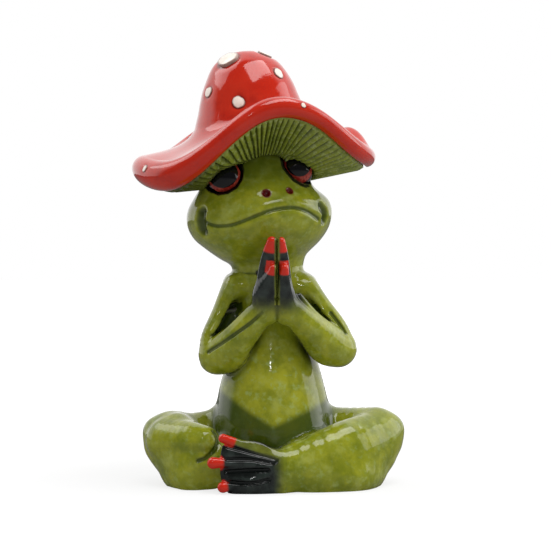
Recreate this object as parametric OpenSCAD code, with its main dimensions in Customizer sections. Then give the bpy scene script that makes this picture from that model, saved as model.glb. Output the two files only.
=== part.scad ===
// Frog figurine: a cross-legged frog with joined palms, under a mushroom hat.
// Cast resin pieces, pinned and glued. Millimetres, +Z up, the face looks along -Y.
// "Right" and "left" are the frog's own: its right side is at -X.

/* [Torso] */
// Height of the neck joint above the base
torso_h = 76; // [66:1:90]
// Width of the seat at the base
seat_w = 38; // [34:1:44]
// Width of the belly
belly_w = 42; // [36:1:48]
// Depth of the belly, front to back
belly_d = 38; // [32:1:44]
// Height of the fullest part of the belly
belly_h = 18; // [12:1:24]
// Width of the chest
chest_w = 25; // [22:1:30]
// Depth of the chest, front to back
chest_d = 25; // [21:1:29]
// Height of the chest above the base
chest_h = 54; // [46:1:60]
// Width of the neck at its joint
neck_w = 24; // [20:1:28]
// Depth of the neck at its joint
neck_d = 20; // [17:1:24]
// Sideways shift of the neck joint, towards the frog's right
neck_shift = 2.6; // [0:0.2:5]

/* [Head] */
// Width of the head across the cheeks
head_w = 50.5; // [44:0.5:58]
// Height of the head from the neck joint to the seat of the hat
head_h = 38; // [35:1:42]
// Depth of the head from the snout to the nape
head_d = 43; // [38:1:50]
// Turn of the face towards the frog's left, in degrees
head_turn = 16; // [0:1:25]
// Lean of the head and hat towards the frog's right, in degrees
head_lean = 5; // [0:0.5:8]
// Diameter of the groove along the mouth
mouth_groove_d = 1.6; // [1:0.1:2.2]
// Diameter of a nostril
nostril_d = 2.6; // [1.8:0.1:3.4]
// Distance between the nostrils
nostril_gap = 8; // [6:0.5:10]

/* [Eyes] */
// Diameter of an eye
eye_d = 12; // [10:0.5:13.5]
// Distance between the eye centres
eye_gap = 26; // [23:0.2:28]
// Distance from the hat's seat down to the eye centres
eye_drop = 6.7; // [5:0.1:8]
// Height of the left eye above the right one
eye_even = 1; // [0:0.1:2]
// How far the eye centres lie behind the face
eye_sink = 2; // [1:0.2:4]

/* [Mushroom hat] */
// Width of the brim, side to side
brim_w = 86; // [78:1:94]
// Depth of the brim, front to back
brim_d = 75; // [66:1:86]
// Thickness of the rolled rim
rim_t = 7; // [6:0.5:8.5]
// Diameter of the crown where it meets the brim
crown_d = 36; // [32:1:40]
// Height of the crown above its seat on the head
crown_h = 37; // [33:1:42]
// Height of the rim's middle above the hat's seat
brim_rise = 5.3; // [4:0.1:7]
// Height of the brim's wave, from its middle to its front and back
brim_wave = 8.2; // [5:0.2:9.4]
// How much the brim's ends are levelled against the lean of the hat
brim_even = 0.9; // [0:0.1:2]
// Number of gills under the brim
gill_count = 66; // [40:2:80]
// Height of a gill
gill_h = 1.2; // [0.8:0.1:1.5]
// Thickness of the gill ring at its edge
gill_edge_t = 2.6; // [2:0.1:3.2]
// Diameter of the largest spot
spot_d = 9; // [6:0.5:11]
// Height of a spot above the cap
spot_rise = 0.5; // [0.3:0.1:1]
// Depth of the recess that a spot sits in
spot_seat = 1.2; // [0.8:0.1:2]

/* [Arms] */
// Distance between the elbow centres
elbow_gap = 42.4; // [39:0.2:46]
// Distance from the neck joint down to the elbow centres
elbow_drop = 29; // [25:0.5:33]
// Height of the left elbow above the right one
elbow_step = 2.4; // [0:0.2:4]
// Diameter of the upper arm at the shoulder
shoulder_d = 9.6; // [8:0.2:11]
// Diameter of the arm at the elbow
elbow_d = 12.4; // [10:0.2:14]
// Diameter of the forearm at the wrist
wrist_d = 7.4; // [6:0.2:9]
// Distance from the neck joint down to the wrists
wrist_drop = 13.5; // [11:0.5:17]
// Distance from the front of the chest forward to the wrists
wrist_out = 7.5; // [6:0.5:11]
// Sideways shift of the joined palms, towards the frog's left
palm_shift = 1.2; // [0:0.2:3]

/* [Hands] */
// Length of the longest finger from the wrist to its tip
hand_l = 24.5; // [20:0.5:28]
// Thickness of a finger
finger_d = 3.2; // [2.6:0.1:3.8]
// Forward tilt of the hands, in degrees
hand_tilt = 19; // [12:1:26]

/* [Legs] */
// Width across the knees
knee_span = 89.6; // [80:0.2:100]
// Height of the knees
knee_h = 25.6; // [22:0.2:30]
// Diameter of the calf
calf_d = 18; // [15:0.5:20]
// Diameter of the ankle
ankle_d = 11; // [9:0.5:13]
// Distance from the front of the belly forward to the middle of the ankles
ankle_out = 2.5; // [1:0.5:5]

/* [Foot] */
// Length of the foot from the ankle to the middle toe's tip
foot_l = 27; // [23:0.5:31]
// Diameter of a toe
toe_d = 3.8; // [3:0.1:4.6]
// Diameter of a toe tip
toe_tip_d = 4.8; // [4:0.1:5.6]
// Spread of the toes at their tips
toe_spread = 17; // [13:0.5:20]

/* [Pins] */
// Diameter of the pins in the neck and under the crown
main_pin_d = 4; // [3:0.5:5]
// Diameter of the pins in the shoulders, hips and ankle
side_pin_d = 2.4; // [2:0.2:3]
// Diameter of the pins in the wrists
wrist_pin_d = 1.6; // [1.2:0.2:2]
// Radial clearance of a pin in its hole
pin_fit = 0.05; // [0.02:0.01:0.1]
// Thickness of a glue line
glue = 0.15; // [0.1:0.05:0.3]

/* [Hidden] */
green = "olivedrab";
slate = "darkslategray";
red = "firebrick";
// More than the figure's size, for cutting tools
far = 200;
// How far a loft runs past the plane that cuts it
spare = 3;
// Sides of a pin and its hole
pin_sides = 48;

// ---- Curves and skins

function lerp(a, b, t) = a + (b - a) * t;
function unit(v) = v / norm(v);
function place(s) = [s[0], s[1], s[2]];

// A point between b and c on the smooth curve through a, b, c and d
function between(a, b, c, d, t) =
    0.5 * (2 * b + (c - a) * t + (2 * a - 5 * b + 4 * c - d) * pow(t, 2) + (3 * (b - c) + d - a) * pow(t, 3));

// A smooth curve through a list of stations, with a number of steps for each
function smooth(list, steps) =
    let (last = len(list) - 1)
    concat(
        [for (i = [0:last - 1]) for (s = [0:steps - 1])
            between(list[max(i - 1, 0)], list[i], list[i + 1], list[min(i + 2, last)], s / steps)],
        [list[last]]
    );

// Stations are [x, y, z, half width, half depth]
function heading(list, i) =
    unit(place(list[min(i + 1, len(list) - 1)]) - place(list[max(i - 1, 0)]));

// An oval around a station, square to the path; ref is the direction of its half depth
function ring_on(list, i, ref, sides) =
    let (
        dir = heading(list, i),
        side = unit(cross(dir, ref)),
        up = cross(side, dir)
    )
    [for (k = [0:sides - 1]) let (a = 360 * k / sides)
        place(list[i]) + side * list[i][3] * cos(a) + up * list[i][4] * sin(a)];

// A level oval, for a body that stands upright
function level_ring(s, sides) =
    [for (k = [0:sides - 1]) let (a = 360 * k / sides)
        [s[0] - s[3] * cos(a), s[1] + s[4] * sin(a), s[2]]];

// Stations that round off the end of a limb, from a station and its heading
function nose(s, dir) =
    [for (a = [30, 55, 75])
        let (c = cos(a), p = place(s) + dir * min(s[3], s[4]) * sin(a))
        [p[0], p[1], p[2], s[3] * c, s[4] * c]];

function reversed(list) = [for (i = [len(list) - 1:-1:0]) list[i]];

// The stations of a limb that is round at both ends
function limb_path(stations, steps) =
    let (
        mid = smooth(stations, steps),
        last = len(mid) - 1
    )
    concat(
        reversed(nose(mid[0], -heading(mid, 0))),
        mid,
        nose(mid[last], heading(mid, last))
    );

// A closed skin over rings of points; a loop has no ends
module skin(rings, loop = false) {
    sides = len(rings[0]);
    count = len(rings);
    spans = loop ? count - 1 : count - 2;
    walls = [for (j = [0:spans]) for (k = [0:sides - 1])
        let (
            m = (k + 1) % sides,
            n = (j + 1) % count,
            a = j * sides + k,
            b = j * sides + m,
            c = n * sides + m,
            d = n * sides + k
        )
        each [[a, b, c], [a, c, d]]];
    ends = loop ? [] : [
        [for (k = [sides - 1:-1:0]) k],
        [for (k = [0:sides - 1]) (count - 1) * sides + k],
    ];
    polyhedron([for (r = rings) each r], concat(walls, ends), convexity = 8);
}

module limb(stations, ref, steps = 3, sides = 20) {
    path = limb_path(stations, steps);
    skin([for (i = [0:len(path) - 1]) ring_on(path, i, ref, sides)]);
}

// Everything on the far side of a level plane
module above(z) {
    translate([-far, -far, z]) cube([2 * far, 2 * far, far]);
}
module below(z) {
    translate([-far, -far, z - far]) cube([2 * far, 2 * far, far]);
}

// A pin between two points, or its hole when a clearance is added
module pin(from, to, d, fit = 0) {
    run = to - from;
    tilt = acos(run[2] / norm(run));
    translate(from)
        rotate([0, tilt, atan2(run[1], run[0])])
            translate([0, 0, -fit])
                cylinder(d = d + 2 * fit, h = norm(run) + 2 * fit, $fn = pin_sides);
}

// ---- Torso

// Depth of the seat, and how far back its middle lies
seat_d = 33;
back_y = 3;
// The neck's middle lies behind the axis
neck_y = 1;
neck_at = [-neck_shift, neck_y, torso_h];

// Heights part of the way from the belly to the chest, and from the chest to the neck
function waist(t) = lerp(belly_h, chest_h, t);
function throat(t) = lerp(chest_h, torso_h, t);

// Sections from the seat up: sideways, back, height, width and depth
function torso_stations(grow) =
    [for (s = [
        [0, back_y, -spare, seat_w * 0.84, seat_d * 0.82],
        [0, back_y, 1, seat_w, seat_d],
        [0, back_y / 2, belly_h / 2, belly_w * 0.98, belly_d * 0.97],
        [0, 0, belly_h, belly_w, belly_d],
        [0, 0, waist(0.45), lerp(belly_w, chest_w, 0.35), lerp(belly_d, chest_d, 0.3)],
        [0, neck_y / 2, waist(0.75), lerp(belly_w, chest_w, 0.75), lerp(belly_d, chest_d, 0.7)],
        [-neck_shift / 4, neck_y, chest_h, chest_w, chest_d],
        [-neck_shift / 2, neck_y, throat(0.55), neck_w * 0.96, lerp(chest_d, neck_d, 0.6)],
        [-neck_shift, neck_y, torso_h, neck_w, neck_d],
        [-neck_shift, neck_y, torso_h + spare, neck_w * 1.08, neck_d * 1.1],
    ]) [s[0], s[1], s[2], s[3] / 2 + grow, s[4] / 2 + grow]];

module torso_form(grow = 0) {
    skin([for (s = smooth(torso_stations(grow), 2)) level_ring(s, 36)]);
}

// How far a neck pin reaches into each casting
neck_pin_reach = 9;
neck_pin_ends = [neck_at - [0, 0, neck_pin_reach], neck_at + [0, 0, neck_pin_reach]];

// The hips, at the belly's sides
hip_in = 9;
hip_y = 5;
hip_z = 13;
hip_pin_l = 16;
function hip_at(s) = [s * (belly_w / 2 - hip_in), hip_y, hip_z];
function hip_pin_ends(s) = [hip_at(s), hip_at(s) + [s * hip_pin_l, -4, 1]];

// The shoulders, just under the neck joint, and their pins lower down where the arm is full
shoulder_in = 2.6;
shoulder_drop = 7;
shoulder_pin_drop = 15;
function shoulder_at(s) = [s * (chest_w / 2 - shoulder_in) - neck_shift / 2, 0, torso_h - shoulder_drop];
function shoulder_pin_ends(s) =
    let (p = [s * chest_w / 2 - neck_shift / 2, -3, torso_h - shoulder_pin_drop])
    [p - [s * 5, -2, 0], p + [s * 6.5, -2, -2]];

module torso() {
    color(green)
    difference() {
        torso_form();
        below(0);
        above(torso_h);
        pin(neck_pin_ends[0], neck_pin_ends[1], main_pin_d, pin_fit);
        for (s = [-1, 1]) {
            pin(hip_pin_ends(s)[0], hip_pin_ends(s)[1], side_pin_d, pin_fit);
            pin(shoulder_pin_ends(s)[0], shoulder_pin_ends(s)[1], side_pin_d, pin_fit);
        }
    }
}

// ---- Head, in a frame that stands on the neck joint, leans and turns

module on_neck() {
    translate(neck_at)
        rotate([0, -head_lean, 0])
            rotate([0, 0, head_turn])
                children();
}

// The head's middle lies towards the frog's right of the neck's
head_off = 1.2;
function head_stations(grow) =
    let (w = head_w / 2, d = head_d / 2)
    [for (s = [
        // height, width, depth and forward shift, as shares of the head's own
        [-0.10, 0.42, 0.40, 0.02],
        [0.00, 0.48, 0.46, 0.02],
        [0.08, 0.66, 0.64, 0.05],
        [0.18, 0.85, 0.82, 0.08],
        [0.29, 0.96, 0.94, 0.10],
        [0.42, 1.00, 1.00, 0.11],
        [0.55, 0.95, 0.98, 0.10],
        [0.68, 0.83, 0.90, 0.07],
        [0.82, 0.70, 0.78, 0.03],
        [1.00, 0.56, 0.62, 0.00],
        [1.08, 0.50, 0.56, 0.00],
    ]) [-head_off, -s[3] * d, s[0] * head_h, s[1] * w + grow, s[2] * d + grow]];

module head_form(grow = 0) {
    skin([for (s = smooth(head_stations(grow), 2)) level_ring(s, 40)]);
}

head_profile = smooth(head_stations(0), 4);
function head_half_w(z) = lookup(z, [for (s = head_profile) [s[2], s[3]]]);
function head_half_d(z) = lookup(z, [for (s = head_profile) [s[2], s[4]]]);
function head_shift(z) = lookup(z, [for (s = head_profile) [s[2], s[1]]]);

// A point on the face, at an angle from the front towards the frog's left
function face_at(a, z, out = 0) =
    [(head_half_w(z) + out) * sin(a) - head_off, head_shift(z) - (head_half_d(z) + out) * cos(a), z];

// The mouth runs round the snout and lifts in the middle: its height as a share of the head's,
// the angle to its corners and how far it dips before them
mouth_h = 0.45;
mouth_angle = 58;
mouth_dip = 2.6;
function mouth_z(a) = head_h * mouth_h + mouth_dip * (cos(a * 180 / mouth_angle) - 1) / 2;
mouth_path =
    [for (k = [-8:8])
        let (a = mouth_angle * k / 8)
        concat(face_at(a, mouth_z(a), mouth_groove_d / 6), [mouth_groove_d / 2, mouth_groove_d / 2])];

// Height of the nostrils as a share of the head's
nostril_h = 0.6;
nostril_depth = 2;

function eye_at(s) =
    let (
        z = head_h - eye_drop + s * eye_even / 2,
        a = asin(eye_gap / 2 / head_half_w(z))
    )
    face_at(s * a, z) + [0, eye_sink, 0];

module head() {
    color(green)
    difference() {
        on_neck() difference() {
            head_form();
            above(head_h);
            limb(mouth_path, [0, 0, 1], 1, 8);
            for (s = [-1, 1]) {
                nostril = face_at(asin(s * nostril_gap / head_w), nostril_h * head_h);
                pin(nostril - [0, nostril_depth, 0], nostril + [0, nostril_depth, 0], nostril_d);
                translate(eye_at(s)) sphere(d = eye_d + 2 * glue, $fn = pin_sides);
            }
            pin(crown_pin_ends[0], crown_pin_ends[1], main_pin_d, pin_fit);
        }
        below(torso_h + glue);
        pin(neck_pin_ends[0], neck_pin_ends[1], main_pin_d, pin_fit);
    }
}

module eye(s) {
    color("darkred")
        on_neck()
            translate(eye_at(s))
                sphere(d = eye_d, $fn = pin_sides);
}
module right_eye() eye(-1);
module left_eye() eye(1);

// ---- Mushroom hat, in the head's frame

crown_pin_reach = 8;
crown_pin_ends = [[0, 0, head_h - crown_pin_reach], [0, 0, head_h + crown_pin_reach]];

// Radius and height of the rim's middle at an angle from the frog's left; the brim sits to the right
brim_off = 1;
function rim_r(a) = 1 / norm([cos(a) / (brim_w / 2), sin(a) / (brim_d / 2)]) - rim_t / 2 - brim_off * cos(a);
function lift(a) = 2 * pow(sin(a), 4) - 1;
function rim_z(a) = head_h + brim_rise + brim_wave * lift(a) - brim_even * cos(a);

// The crown from its top to its foot: shares of its radius and of its height
crown_line = [
    [0.02, 1], [0.28, 0.985], [0.5, 0.93], [0.68, 0.845],
    [0.86, 0.68], [0.95, 0.55], [1.02, 0.44], [1.1, 0.34],
];
crown_foot = crown_line[len(crown_line) - 1];
crown_profile =
    [for (p = smooth(crown_line, 2)) [p[0] * crown_d / 2, head_h + p[1] * crown_h]];

// The brim's upper side, from the crown's foot to the top of the rim, hollow between them
function valley(a) = crown_h * lerp(0.032, 0.09, pow(cos(a), 2));
function brim_top(a, t) =
    let (
        r0 = crown_foot[0] * crown_d / 2,
        z0 = head_h + crown_foot[1] * crown_h
    )
    [lerp(r0, rim_r(a), t), lerp(z0, rim_z(a) + rim_t / 2, t) - valley(a) * sin(180 * pow(t, 0.6))];

// The brim's under side, from the seat on the head to the rebate inside the rim
seat_margin = 1.4;
seat_r = head_half_w(head_h) + seat_margin;
rebate = 0.9;
function brim_under(a, t) =
    [lerp(seat_r, rim_r(a) - rebate, t), lerp(head_h + glue, rim_z(a) - rebate * 0.67, t)];

function cap_line(a) =
    concat(
        crown_profile,
        [for (t = [0.25, 0.5, 0.75]) brim_top(a, t)],
        [for (b = [90:-36:-90]) [rim_r(a) + rim_t / 2 * cos(b), rim_z(a) + rim_t / 2 * sin(b)]],
        [for (t = [1, 0.66, 0.33, 0]) brim_under(a, t)]
    );

function around(p, a) = [p[0] * cos(a), p[0] * sin(a), p[1]];

cap_steps = 64;
module cap_form() {
    lines = [for (k = [0:cap_steps - 1]) cap_line(360 * k / cap_steps)];
    skin([for (j = [0:len(lines[0]) - 1])
        [for (k = [0:cap_steps - 1]) around(lines[k][j], 360 * k / cap_steps)]]);
}

// Spots on the crown: angle, height as a share of the crown's, and diameter as a share of the largest
crown_spots = [
    [216, 0.92, 1], [311, 0.74, 0.52], [197, 0.62, 0.5], [242, 0.48, 0.62], [325, 0.955, 0.6],
    [20, 0.70, 0.7], [65, 0.55, 0.55], [105, 0.84, 0.9], [150, 0.60, 0.6],
];
// Spots on the brim: angle, share of the way to the rim, and diameter as a share of the largest
brim_spots = [[186, 0.86, 0.55], [60, 0.6, 0.6], [118, 0.8, 0.4], [20, 0.8, 0.5]];
// The small spot on the front of the rim: angle round the hat and round the rim, and its share
rim_spot = [282, 20, 0.22];

function crown_radius(h) = lookup(h, [for (p = reversed(smooth(crown_line, 6))) [p[1], p[0] * crown_d / 2]]);
function crown_slope(h) =
    atan2(crown_radius(h - 0.01) - crown_radius(h + 0.01), 0.02 * crown_h);
module at_spots() {
    for (s = crown_spots)
        rotate([0, 0, s[0]])
            translate([crown_radius(s[1]), 0, head_h + s[1] * crown_h])
                rotate([0, 90 - crown_slope(s[1]), 0]) {
                    $spot = s[2] * spot_d;
                    children();
                }
    for (s = brim_spots) {
        p = brim_top(s[0], s[1]);
        q = brim_top(s[0], s[1] - 0.05);
        rotate([0, 0, s[0]])
            translate([p[0], 0, p[1]])
                rotate([0, -atan2(p[1] - q[1], p[0] - q[0]), 0]) {
                    $spot = s[2] * spot_d;
                    children();
                }
    }
    rotate([0, 0, rim_spot[0]])
        translate([rim_r(rim_spot[0]), 0, rim_z(rim_spot[0])])
            rotate([0, 90 - rim_spot[1], 0])
                translate([0, 0, rim_t / 2]) {
                    $spot = rim_spot[2] * spot_d;
                    children();
                }
}

// A spot's top is rounded like the crown, and its side goes straight down into its seat
module spot() {
    r = $spot / 2;
    fall = pow(r, 2) / crown_d;
    rotate_extrude($fn = 32)
        polygon(concat(
            [[0, -spot_seat], [r, -spot_seat]],
            [for (t = [1:-0.25:0]) [r * t, spot_rise - (fall + spot_rise * 0.6) * pow(t, 2)]]
        ));
}
module spot_hole() {
    translate([0, 0, -spot_seat - glue])
        cylinder(d = $spot + 2 * glue, h = spot_d, $fn = 32);
}

module mushroom_cap() {
    color(red)
    on_neck() difference() {
        cap_form();
        pin(crown_pin_ends[0], crown_pin_ends[1], main_pin_d, pin_fit);
        at_spots() spot_hole();
    }
}

module cap_spots() {
    color("ivory") on_neck() at_spots() spot();
}

// The gills: a ring in the rebate under the brim, ribbed below, fitted round the head and eyes
gill_in_wave = 4.5;
gill_in_drop = 5.3;

// Distance from the hat's axis to the head's surface
function head_r(a, z) =
    let (
        w = head_half_w(z),
        d = head_half_d(z),
        x = -head_off,
        y = head_shift(z),
        p = pow(cos(a) / w, 2) + pow(sin(a) / d, 2),
        q = x * cos(a) / pow(w, 2) + y * sin(a) / pow(d, 2),
        r = pow(x / w, 2) + pow(y / d, 2) - 1
    )
    (q + sqrt(pow(q, 2) - p * r)) / p;

function gill_out(a) = rim_r(a) - rebate - glue;
function gill_in_z(a) = head_h - gill_in_drop + gill_in_wave * lift(a);
function gill_low(a, t) =
    [lerp(head_r(a, gill_in_z(a)) + glue, gill_out(a), t),
     lerp(gill_in_z(a), rim_z(a) - rebate - gill_edge_t, t)];
function gill_line(a, rise) =
    let (mid = lerp(gill_in_z(a), head_h, 0.5))
    concat(
        [[head_r(a, mid) + glue, mid], [head_r(a, head_h) + glue, head_h - glue]],
        [for (t = [0, 0.34, 0.67]) brim_under(a, t) - [0, 2 * glue]],
        [[gill_out(a), brim_under(a, 1)[1] - glue]],
        [for (t = [1, 0.67, 0.34, 0]) gill_low(a, t) + [0, rise]]
    );

module gill_form() {
    steps = 2 * gill_count;
    lines = [for (k = [0:steps - 1]) gill_line(360 * k / steps, gill_h * (k % 2))];
    skin([for (j = [0:len(lines[0]) - 1])
        [for (k = [0:steps - 1]) around(lines[k][j], 360 * k / steps)]], loop = true);
}

module gill_ring() {
    color("darkolivegreen")
    on_neck() difference() {
        gill_form();
        for (s = [-1, 1]) translate(eye_at(s)) sphere(d = eye_d + 2 * glue, $fn = pin_sides);
    }
}

// ---- Arms and hands

elbow_y = -9;
wrist_h = torso_h - wrist_drop;
wrist_y = -chest_d / 2 - wrist_out;
function elbow_at(s) = [palm_shift + s * elbow_gap / 2, elbow_y, torso_h - elbow_drop + s * elbow_step / 2];
function wrist_at(s) = [palm_shift + s * wrist_d * 0.46, wrist_y, wrist_h];

// How far the upper arm bows outwards and the forearm forwards and down
function arm_bow(s) = [s * shoulder_d * 0.125, shoulder_d * 0.05, 0];
forearm_bow = [0, -elbow_d * 0.08, -elbow_d * 0.1];

function arm_stations(s) = [
    concat(shoulder_at(s), [shoulder_d / 2, shoulder_d / 2]),
    concat(lerp(shoulder_at(s), elbow_at(s), 0.55) + arm_bow(s), [shoulder_d / 2, shoulder_d / 2]),
    concat(elbow_at(s), [elbow_d / 2, elbow_d / 2]),
];
function forearm_stations(s) = [
    concat(elbow_at(s), [elbow_d / 2, elbow_d / 2]),
    concat(lerp(elbow_at(s), wrist_at(s), 0.5) + forearm_bow, [elbow_d * 0.43, elbow_d * 0.45]),
    concat(wrist_at(s), [wrist_d / 2, wrist_d / 2]),
    concat(wrist_at(s) + [-s * 0.05, -0.08, 0.54] * wrist_d, [wrist_d / 2, wrist_d / 2]),
];

// Everything past the plane between the palms
module other_side(s) {
    translate([palm_shift + (s > 0 ? glue / 2 - far : -glue / 2), -far, 0])
        cube([far, 2 * far, far]);
}

// Thickness of the web between the upper arm, the forearm and the chest
web_t = 4;
module arm_form(s) {
    difference() {
        union() {
            limb(arm_stations(s), [0, 1, 0]);
            difference() {
                limb(forearm_stations(s), [0, 1, 0]);
                above(wrist_h);
            }
            hull() for (p = [shoulder_at(s), elbow_at(s), lerp(elbow_at(s), wrist_at(s), 0.75)])
                translate(p) sphere(d = web_t, $fn = 16);
        }
        other_side(s);
    }
}

wrist_pin_reach = 5;
function wrist_pin_ends(s) =
    let (p = [palm_shift + s * wrist_d * 0.44, wrist_y - 0.2, wrist_h])
    [p - [0, 0, wrist_pin_reach], p + [0, 0, wrist_pin_reach]];

module arm(s) {
    color(green)
    difference() {
        arm_form(s);
        torso_form(glue);
        pin(shoulder_pin_ends(s)[0], shoulder_pin_ends(s)[1], side_pin_d, pin_fit);
        pin(wrist_pin_ends(s)[0], wrist_pin_ends(s)[1], wrist_pin_d, pin_fit);
    }
}
module right_arm() arm(-1);
module left_arm() arm(1);

// A point of a hand: distance from the palms' plane, forward of the hand's axis and along it
function hand_point(s, out, ahead, along) =
    [palm_shift + s * out,
     wrist_y - along * sin(hand_tilt) - ahead * cos(hand_tilt),
     wrist_h + along * cos(hand_tilt) - ahead * sin(hand_tilt)];

// Fingers: where each starts and ends, in thicknesses forward, and its share of the longest one's length
fingers = [[0.81, 1.06, 0.66], [0.12, 0.19, 1], [-0.69, -0.81, 0.86]];
palm_l = 0.45;
// How far the palm starts under the wrist joint, where it is cut
palm_start = 2;

function palm_stations(s) = [
    concat(hand_point(s, wrist_d * 0.46, 0, -palm_start), [wrist_d / 2, wrist_d * 0.58]),
    concat(hand_point(s, wrist_d * 0.42, 0, hand_l * 0.2), [wrist_d * 0.44, wrist_d * 0.62]),
    concat(hand_point(s, finger_d * 0.55, 0, hand_l * palm_l), [finger_d * 0.62, wrist_d * 0.62]),
];
function finger_stations(s, f) =
    let (
        d = finger_d,
        from = f[0] * d,
        to = f[1] * d,
        l = hand_l * f[2]
    )
    [
        concat(hand_point(s, d * 0.7, from, hand_l * 0.25), [d * 0.62, d / 2]),
        concat(hand_point(s, d * 0.55, (from + to) / 2, l * 0.7), [d * 0.55, d / 2]),
        concat(hand_point(s, d / 2, to, l - d / 2), [d / 2, d / 2]),
    ];

module hand(s) {
    color(slate)
    difference() {
        union() {
            limb(palm_stations(s), [0, 1, 0], 3, 16);
            for (f = fingers) limb(finger_stations(s, f), [0, 1, 0], 3, 12);
        }
        below(wrist_h + glue);
        other_side(s);
        on_neck() head_form(glue);
        pin(wrist_pin_ends(s)[0], wrist_pin_ends(s)[1], wrist_pin_d, pin_fit);
    }
}
module right_hand() hand(-1);
module left_hand() hand(1);

// ---- Legs and the foot

knee_y = -6;
ankle_x = 4;
ankle_y = -belly_d / 2 - ankle_out;
function knee_at(s, back) = [s * (knee_span / 2 - calf_d * 0.52), knee_y + back, knee_h * 0.55];
// The left shin runs to the ankle in front; the right one is tucked behind the foot
function ankle_at(s) = s > 0
    ? [ankle_x - ankle_d * 0.1, ankle_y - ankle_d * 0.18, calf_d * 0.4]
    : [-ankle_x - calf_d / 2, ankle_y + calf_d / 4, calf_d * 0.4];

// How far the thigh lies behind the shin at the knee, and how far the shin bows forwards and down
thigh_back = 3;
shin_bow = [0, -2.4, -1.6];

function thigh_stations(s) = [
    concat(hip_at(s) + [-s * 2, 1, -0.5], [calf_d * 0.52, calf_d * 0.69]),
    concat(lerp(hip_at(s), knee_at(s, thigh_back), 0.5) + [0, 1, -0.8], [calf_d * 0.56, knee_h * 0.51]),
    concat(knee_at(s, thigh_back), [calf_d * 0.5, knee_h * 0.45]),
];
function shin_stations(s) = [
    concat(knee_at(s, 0), [calf_d * 0.5, knee_h * 0.45]),
    concat(lerp(knee_at(s, 0), ankle_at(s), 0.4) + shin_bow, [calf_d * 0.5, knee_h * 0.47]),
    concat(ankle_at(s), [ankle_d / 2, calf_d * 0.4]),
];

module leg_form(s, grow = 0) {
    wider = [0, 0, 0, grow, grow];
    limb([for (p = thigh_stations(s)) p + wider], [0, 0, 1], 3, 24);
    limb([for (p = shin_stations(s)) p + wider], [0, 0, 1], 3, 24);
}

ankle_pin_reach = 7;
ankle_pin_ends =
    let (p = [ankle_x, ankle_y - ankle_d * 0.22, calf_d * 0.4])
    [p - [ankle_pin_reach, 0, 0], p + [ankle_pin_reach, 0, 0]];

module right_leg() {
    color(green)
    difference() {
        leg_form(-1);
        below(0);
        torso_form(glue);
        pin(hip_pin_ends(-1)[0], hip_pin_ends(-1)[1], side_pin_d, pin_fit);
    }
}
module left_leg() {
    color(green)
    difference() {
        leg_form(1);
        below(0);
        // the ankle joint
        translate([-far, -far, -1]) cube([far + ankle_x, 2 * far, far]);
        torso_form(glue);
        pin(hip_pin_ends(1)[0], hip_pin_ends(1)[1], side_pin_d, pin_fit);
        pin(ankle_pin_ends[0], ankle_pin_ends[1], side_pin_d, pin_fit);
    }
}

// The foot lies on its side against the other leg, its three toes spread upwards
foot_y = ankle_y - 4;
// Toes from the top: shares of the foot's length, of a toe's thickness forward, and of the spread upwards
toes = [[0.7, 0.26, 0.93], [0.91, 0.7, 0.47], [0.8, 1.1, 0]];
function toe_tip(k) = [
    ankle_x - foot_l * toes[k][0],
    foot_y - toe_d * toes[k][1],
    toe_tip_d / 2 + toe_spread * toes[k][2]
];
function toe_root(k) = [ankle_x - 1, foot_y + toe_d / 2, lerp(calf_d * 0.42, toe_tip(k)[2], 0.35)];
function toe_stations(k) = [
    concat(toe_root(k), [toe_d * 0.6, toe_d * 0.6]),
    concat(lerp(toe_root(k) - [0, 1, 0], toe_tip(k), 0.6), [toe_d / 2, toe_d / 2]),
    concat(toe_tip(k) + [toe_tip_d * 0.7, 0, 0], [toe_d / 2, toe_d / 2]),
    concat(toe_tip(k), [toe_tip_d / 2, toe_tip_d / 2]),
];
sole_h = toe_tip_d / 2 + toe_spread * 0.43;
sole_stations = [
    [ankle_x + 2, ankle_y - ankle_d * 0.2, calf_d * 0.4, ankle_d / 2, calf_d * 0.4],
    [ankle_x - foot_l * 0.2, foot_y, calf_d * 0.42, ankle_d * 0.36, calf_d * 0.42],
    [ankle_x - foot_l * 0.42, foot_y - toe_d * 0.25, sole_h, ankle_d * 0.22, toe_spread * 0.46],
    [ankle_x - foot_l * 0.64, foot_y - toe_d * 0.5, sole_h, ankle_d * 0.14, toe_spread * 0.44],
];

module left_foot() {
    color(slate)
    difference() {
        union() {
            limb(sole_stations, [0, 0, 1], 3, 20);
            for (k = [0:len(toes) - 1]) limb(toe_stations(k), [0, 0, 1], 3, 12);
        }
        below(0);
        translate([ankle_x - glue, -far, -1]) cube([far, 2 * far, far]);
        leg_form(-1, glue);
        torso_form(glue);
        pin(ankle_pin_ends[0], ankle_pin_ends[1], side_pin_d, pin_fit);
    }
}

// ---- Pins

module neck_pin() {
    color("silver") pin(neck_pin_ends[0], neck_pin_ends[1], main_pin_d);
}
module crown_pin() {
    color("silver") on_neck() pin(crown_pin_ends[0], crown_pin_ends[1], main_pin_d);
}
module shoulder_pins() {
    color("silver") for (s = [-1, 1]) pin(shoulder_pin_ends(s)[0], shoulder_pin_ends(s)[1], side_pin_d);
}
module wrist_pins() {
    color("silver") for (s = [-1, 1]) pin(wrist_pin_ends(s)[0], wrist_pin_ends(s)[1], wrist_pin_d);
}
module hip_pins() {
    color("silver") for (s = [-1, 1]) pin(hip_pin_ends(s)[0], hip_pin_ends(s)[1], side_pin_d);
}
module ankle_pin() {
    color("silver") pin(ankle_pin_ends[0], ankle_pin_ends[1], side_pin_d);
}

torso();
head();
right_eye();
left_eye();
mushroom_cap();
gill_ring();
cap_spots();
right_arm();
left_arm();
right_hand();
left_hand();
right_leg();
left_leg();
left_foot();
neck_pin();
crown_pin();
shoulder_pins();
wrist_pins();
hip_pins();
ankle_pin();
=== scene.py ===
"""A frog in glazed cast resin, cross-legged with its palms joined, under a red mushroom hat."""
import math
from itertools import product

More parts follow.
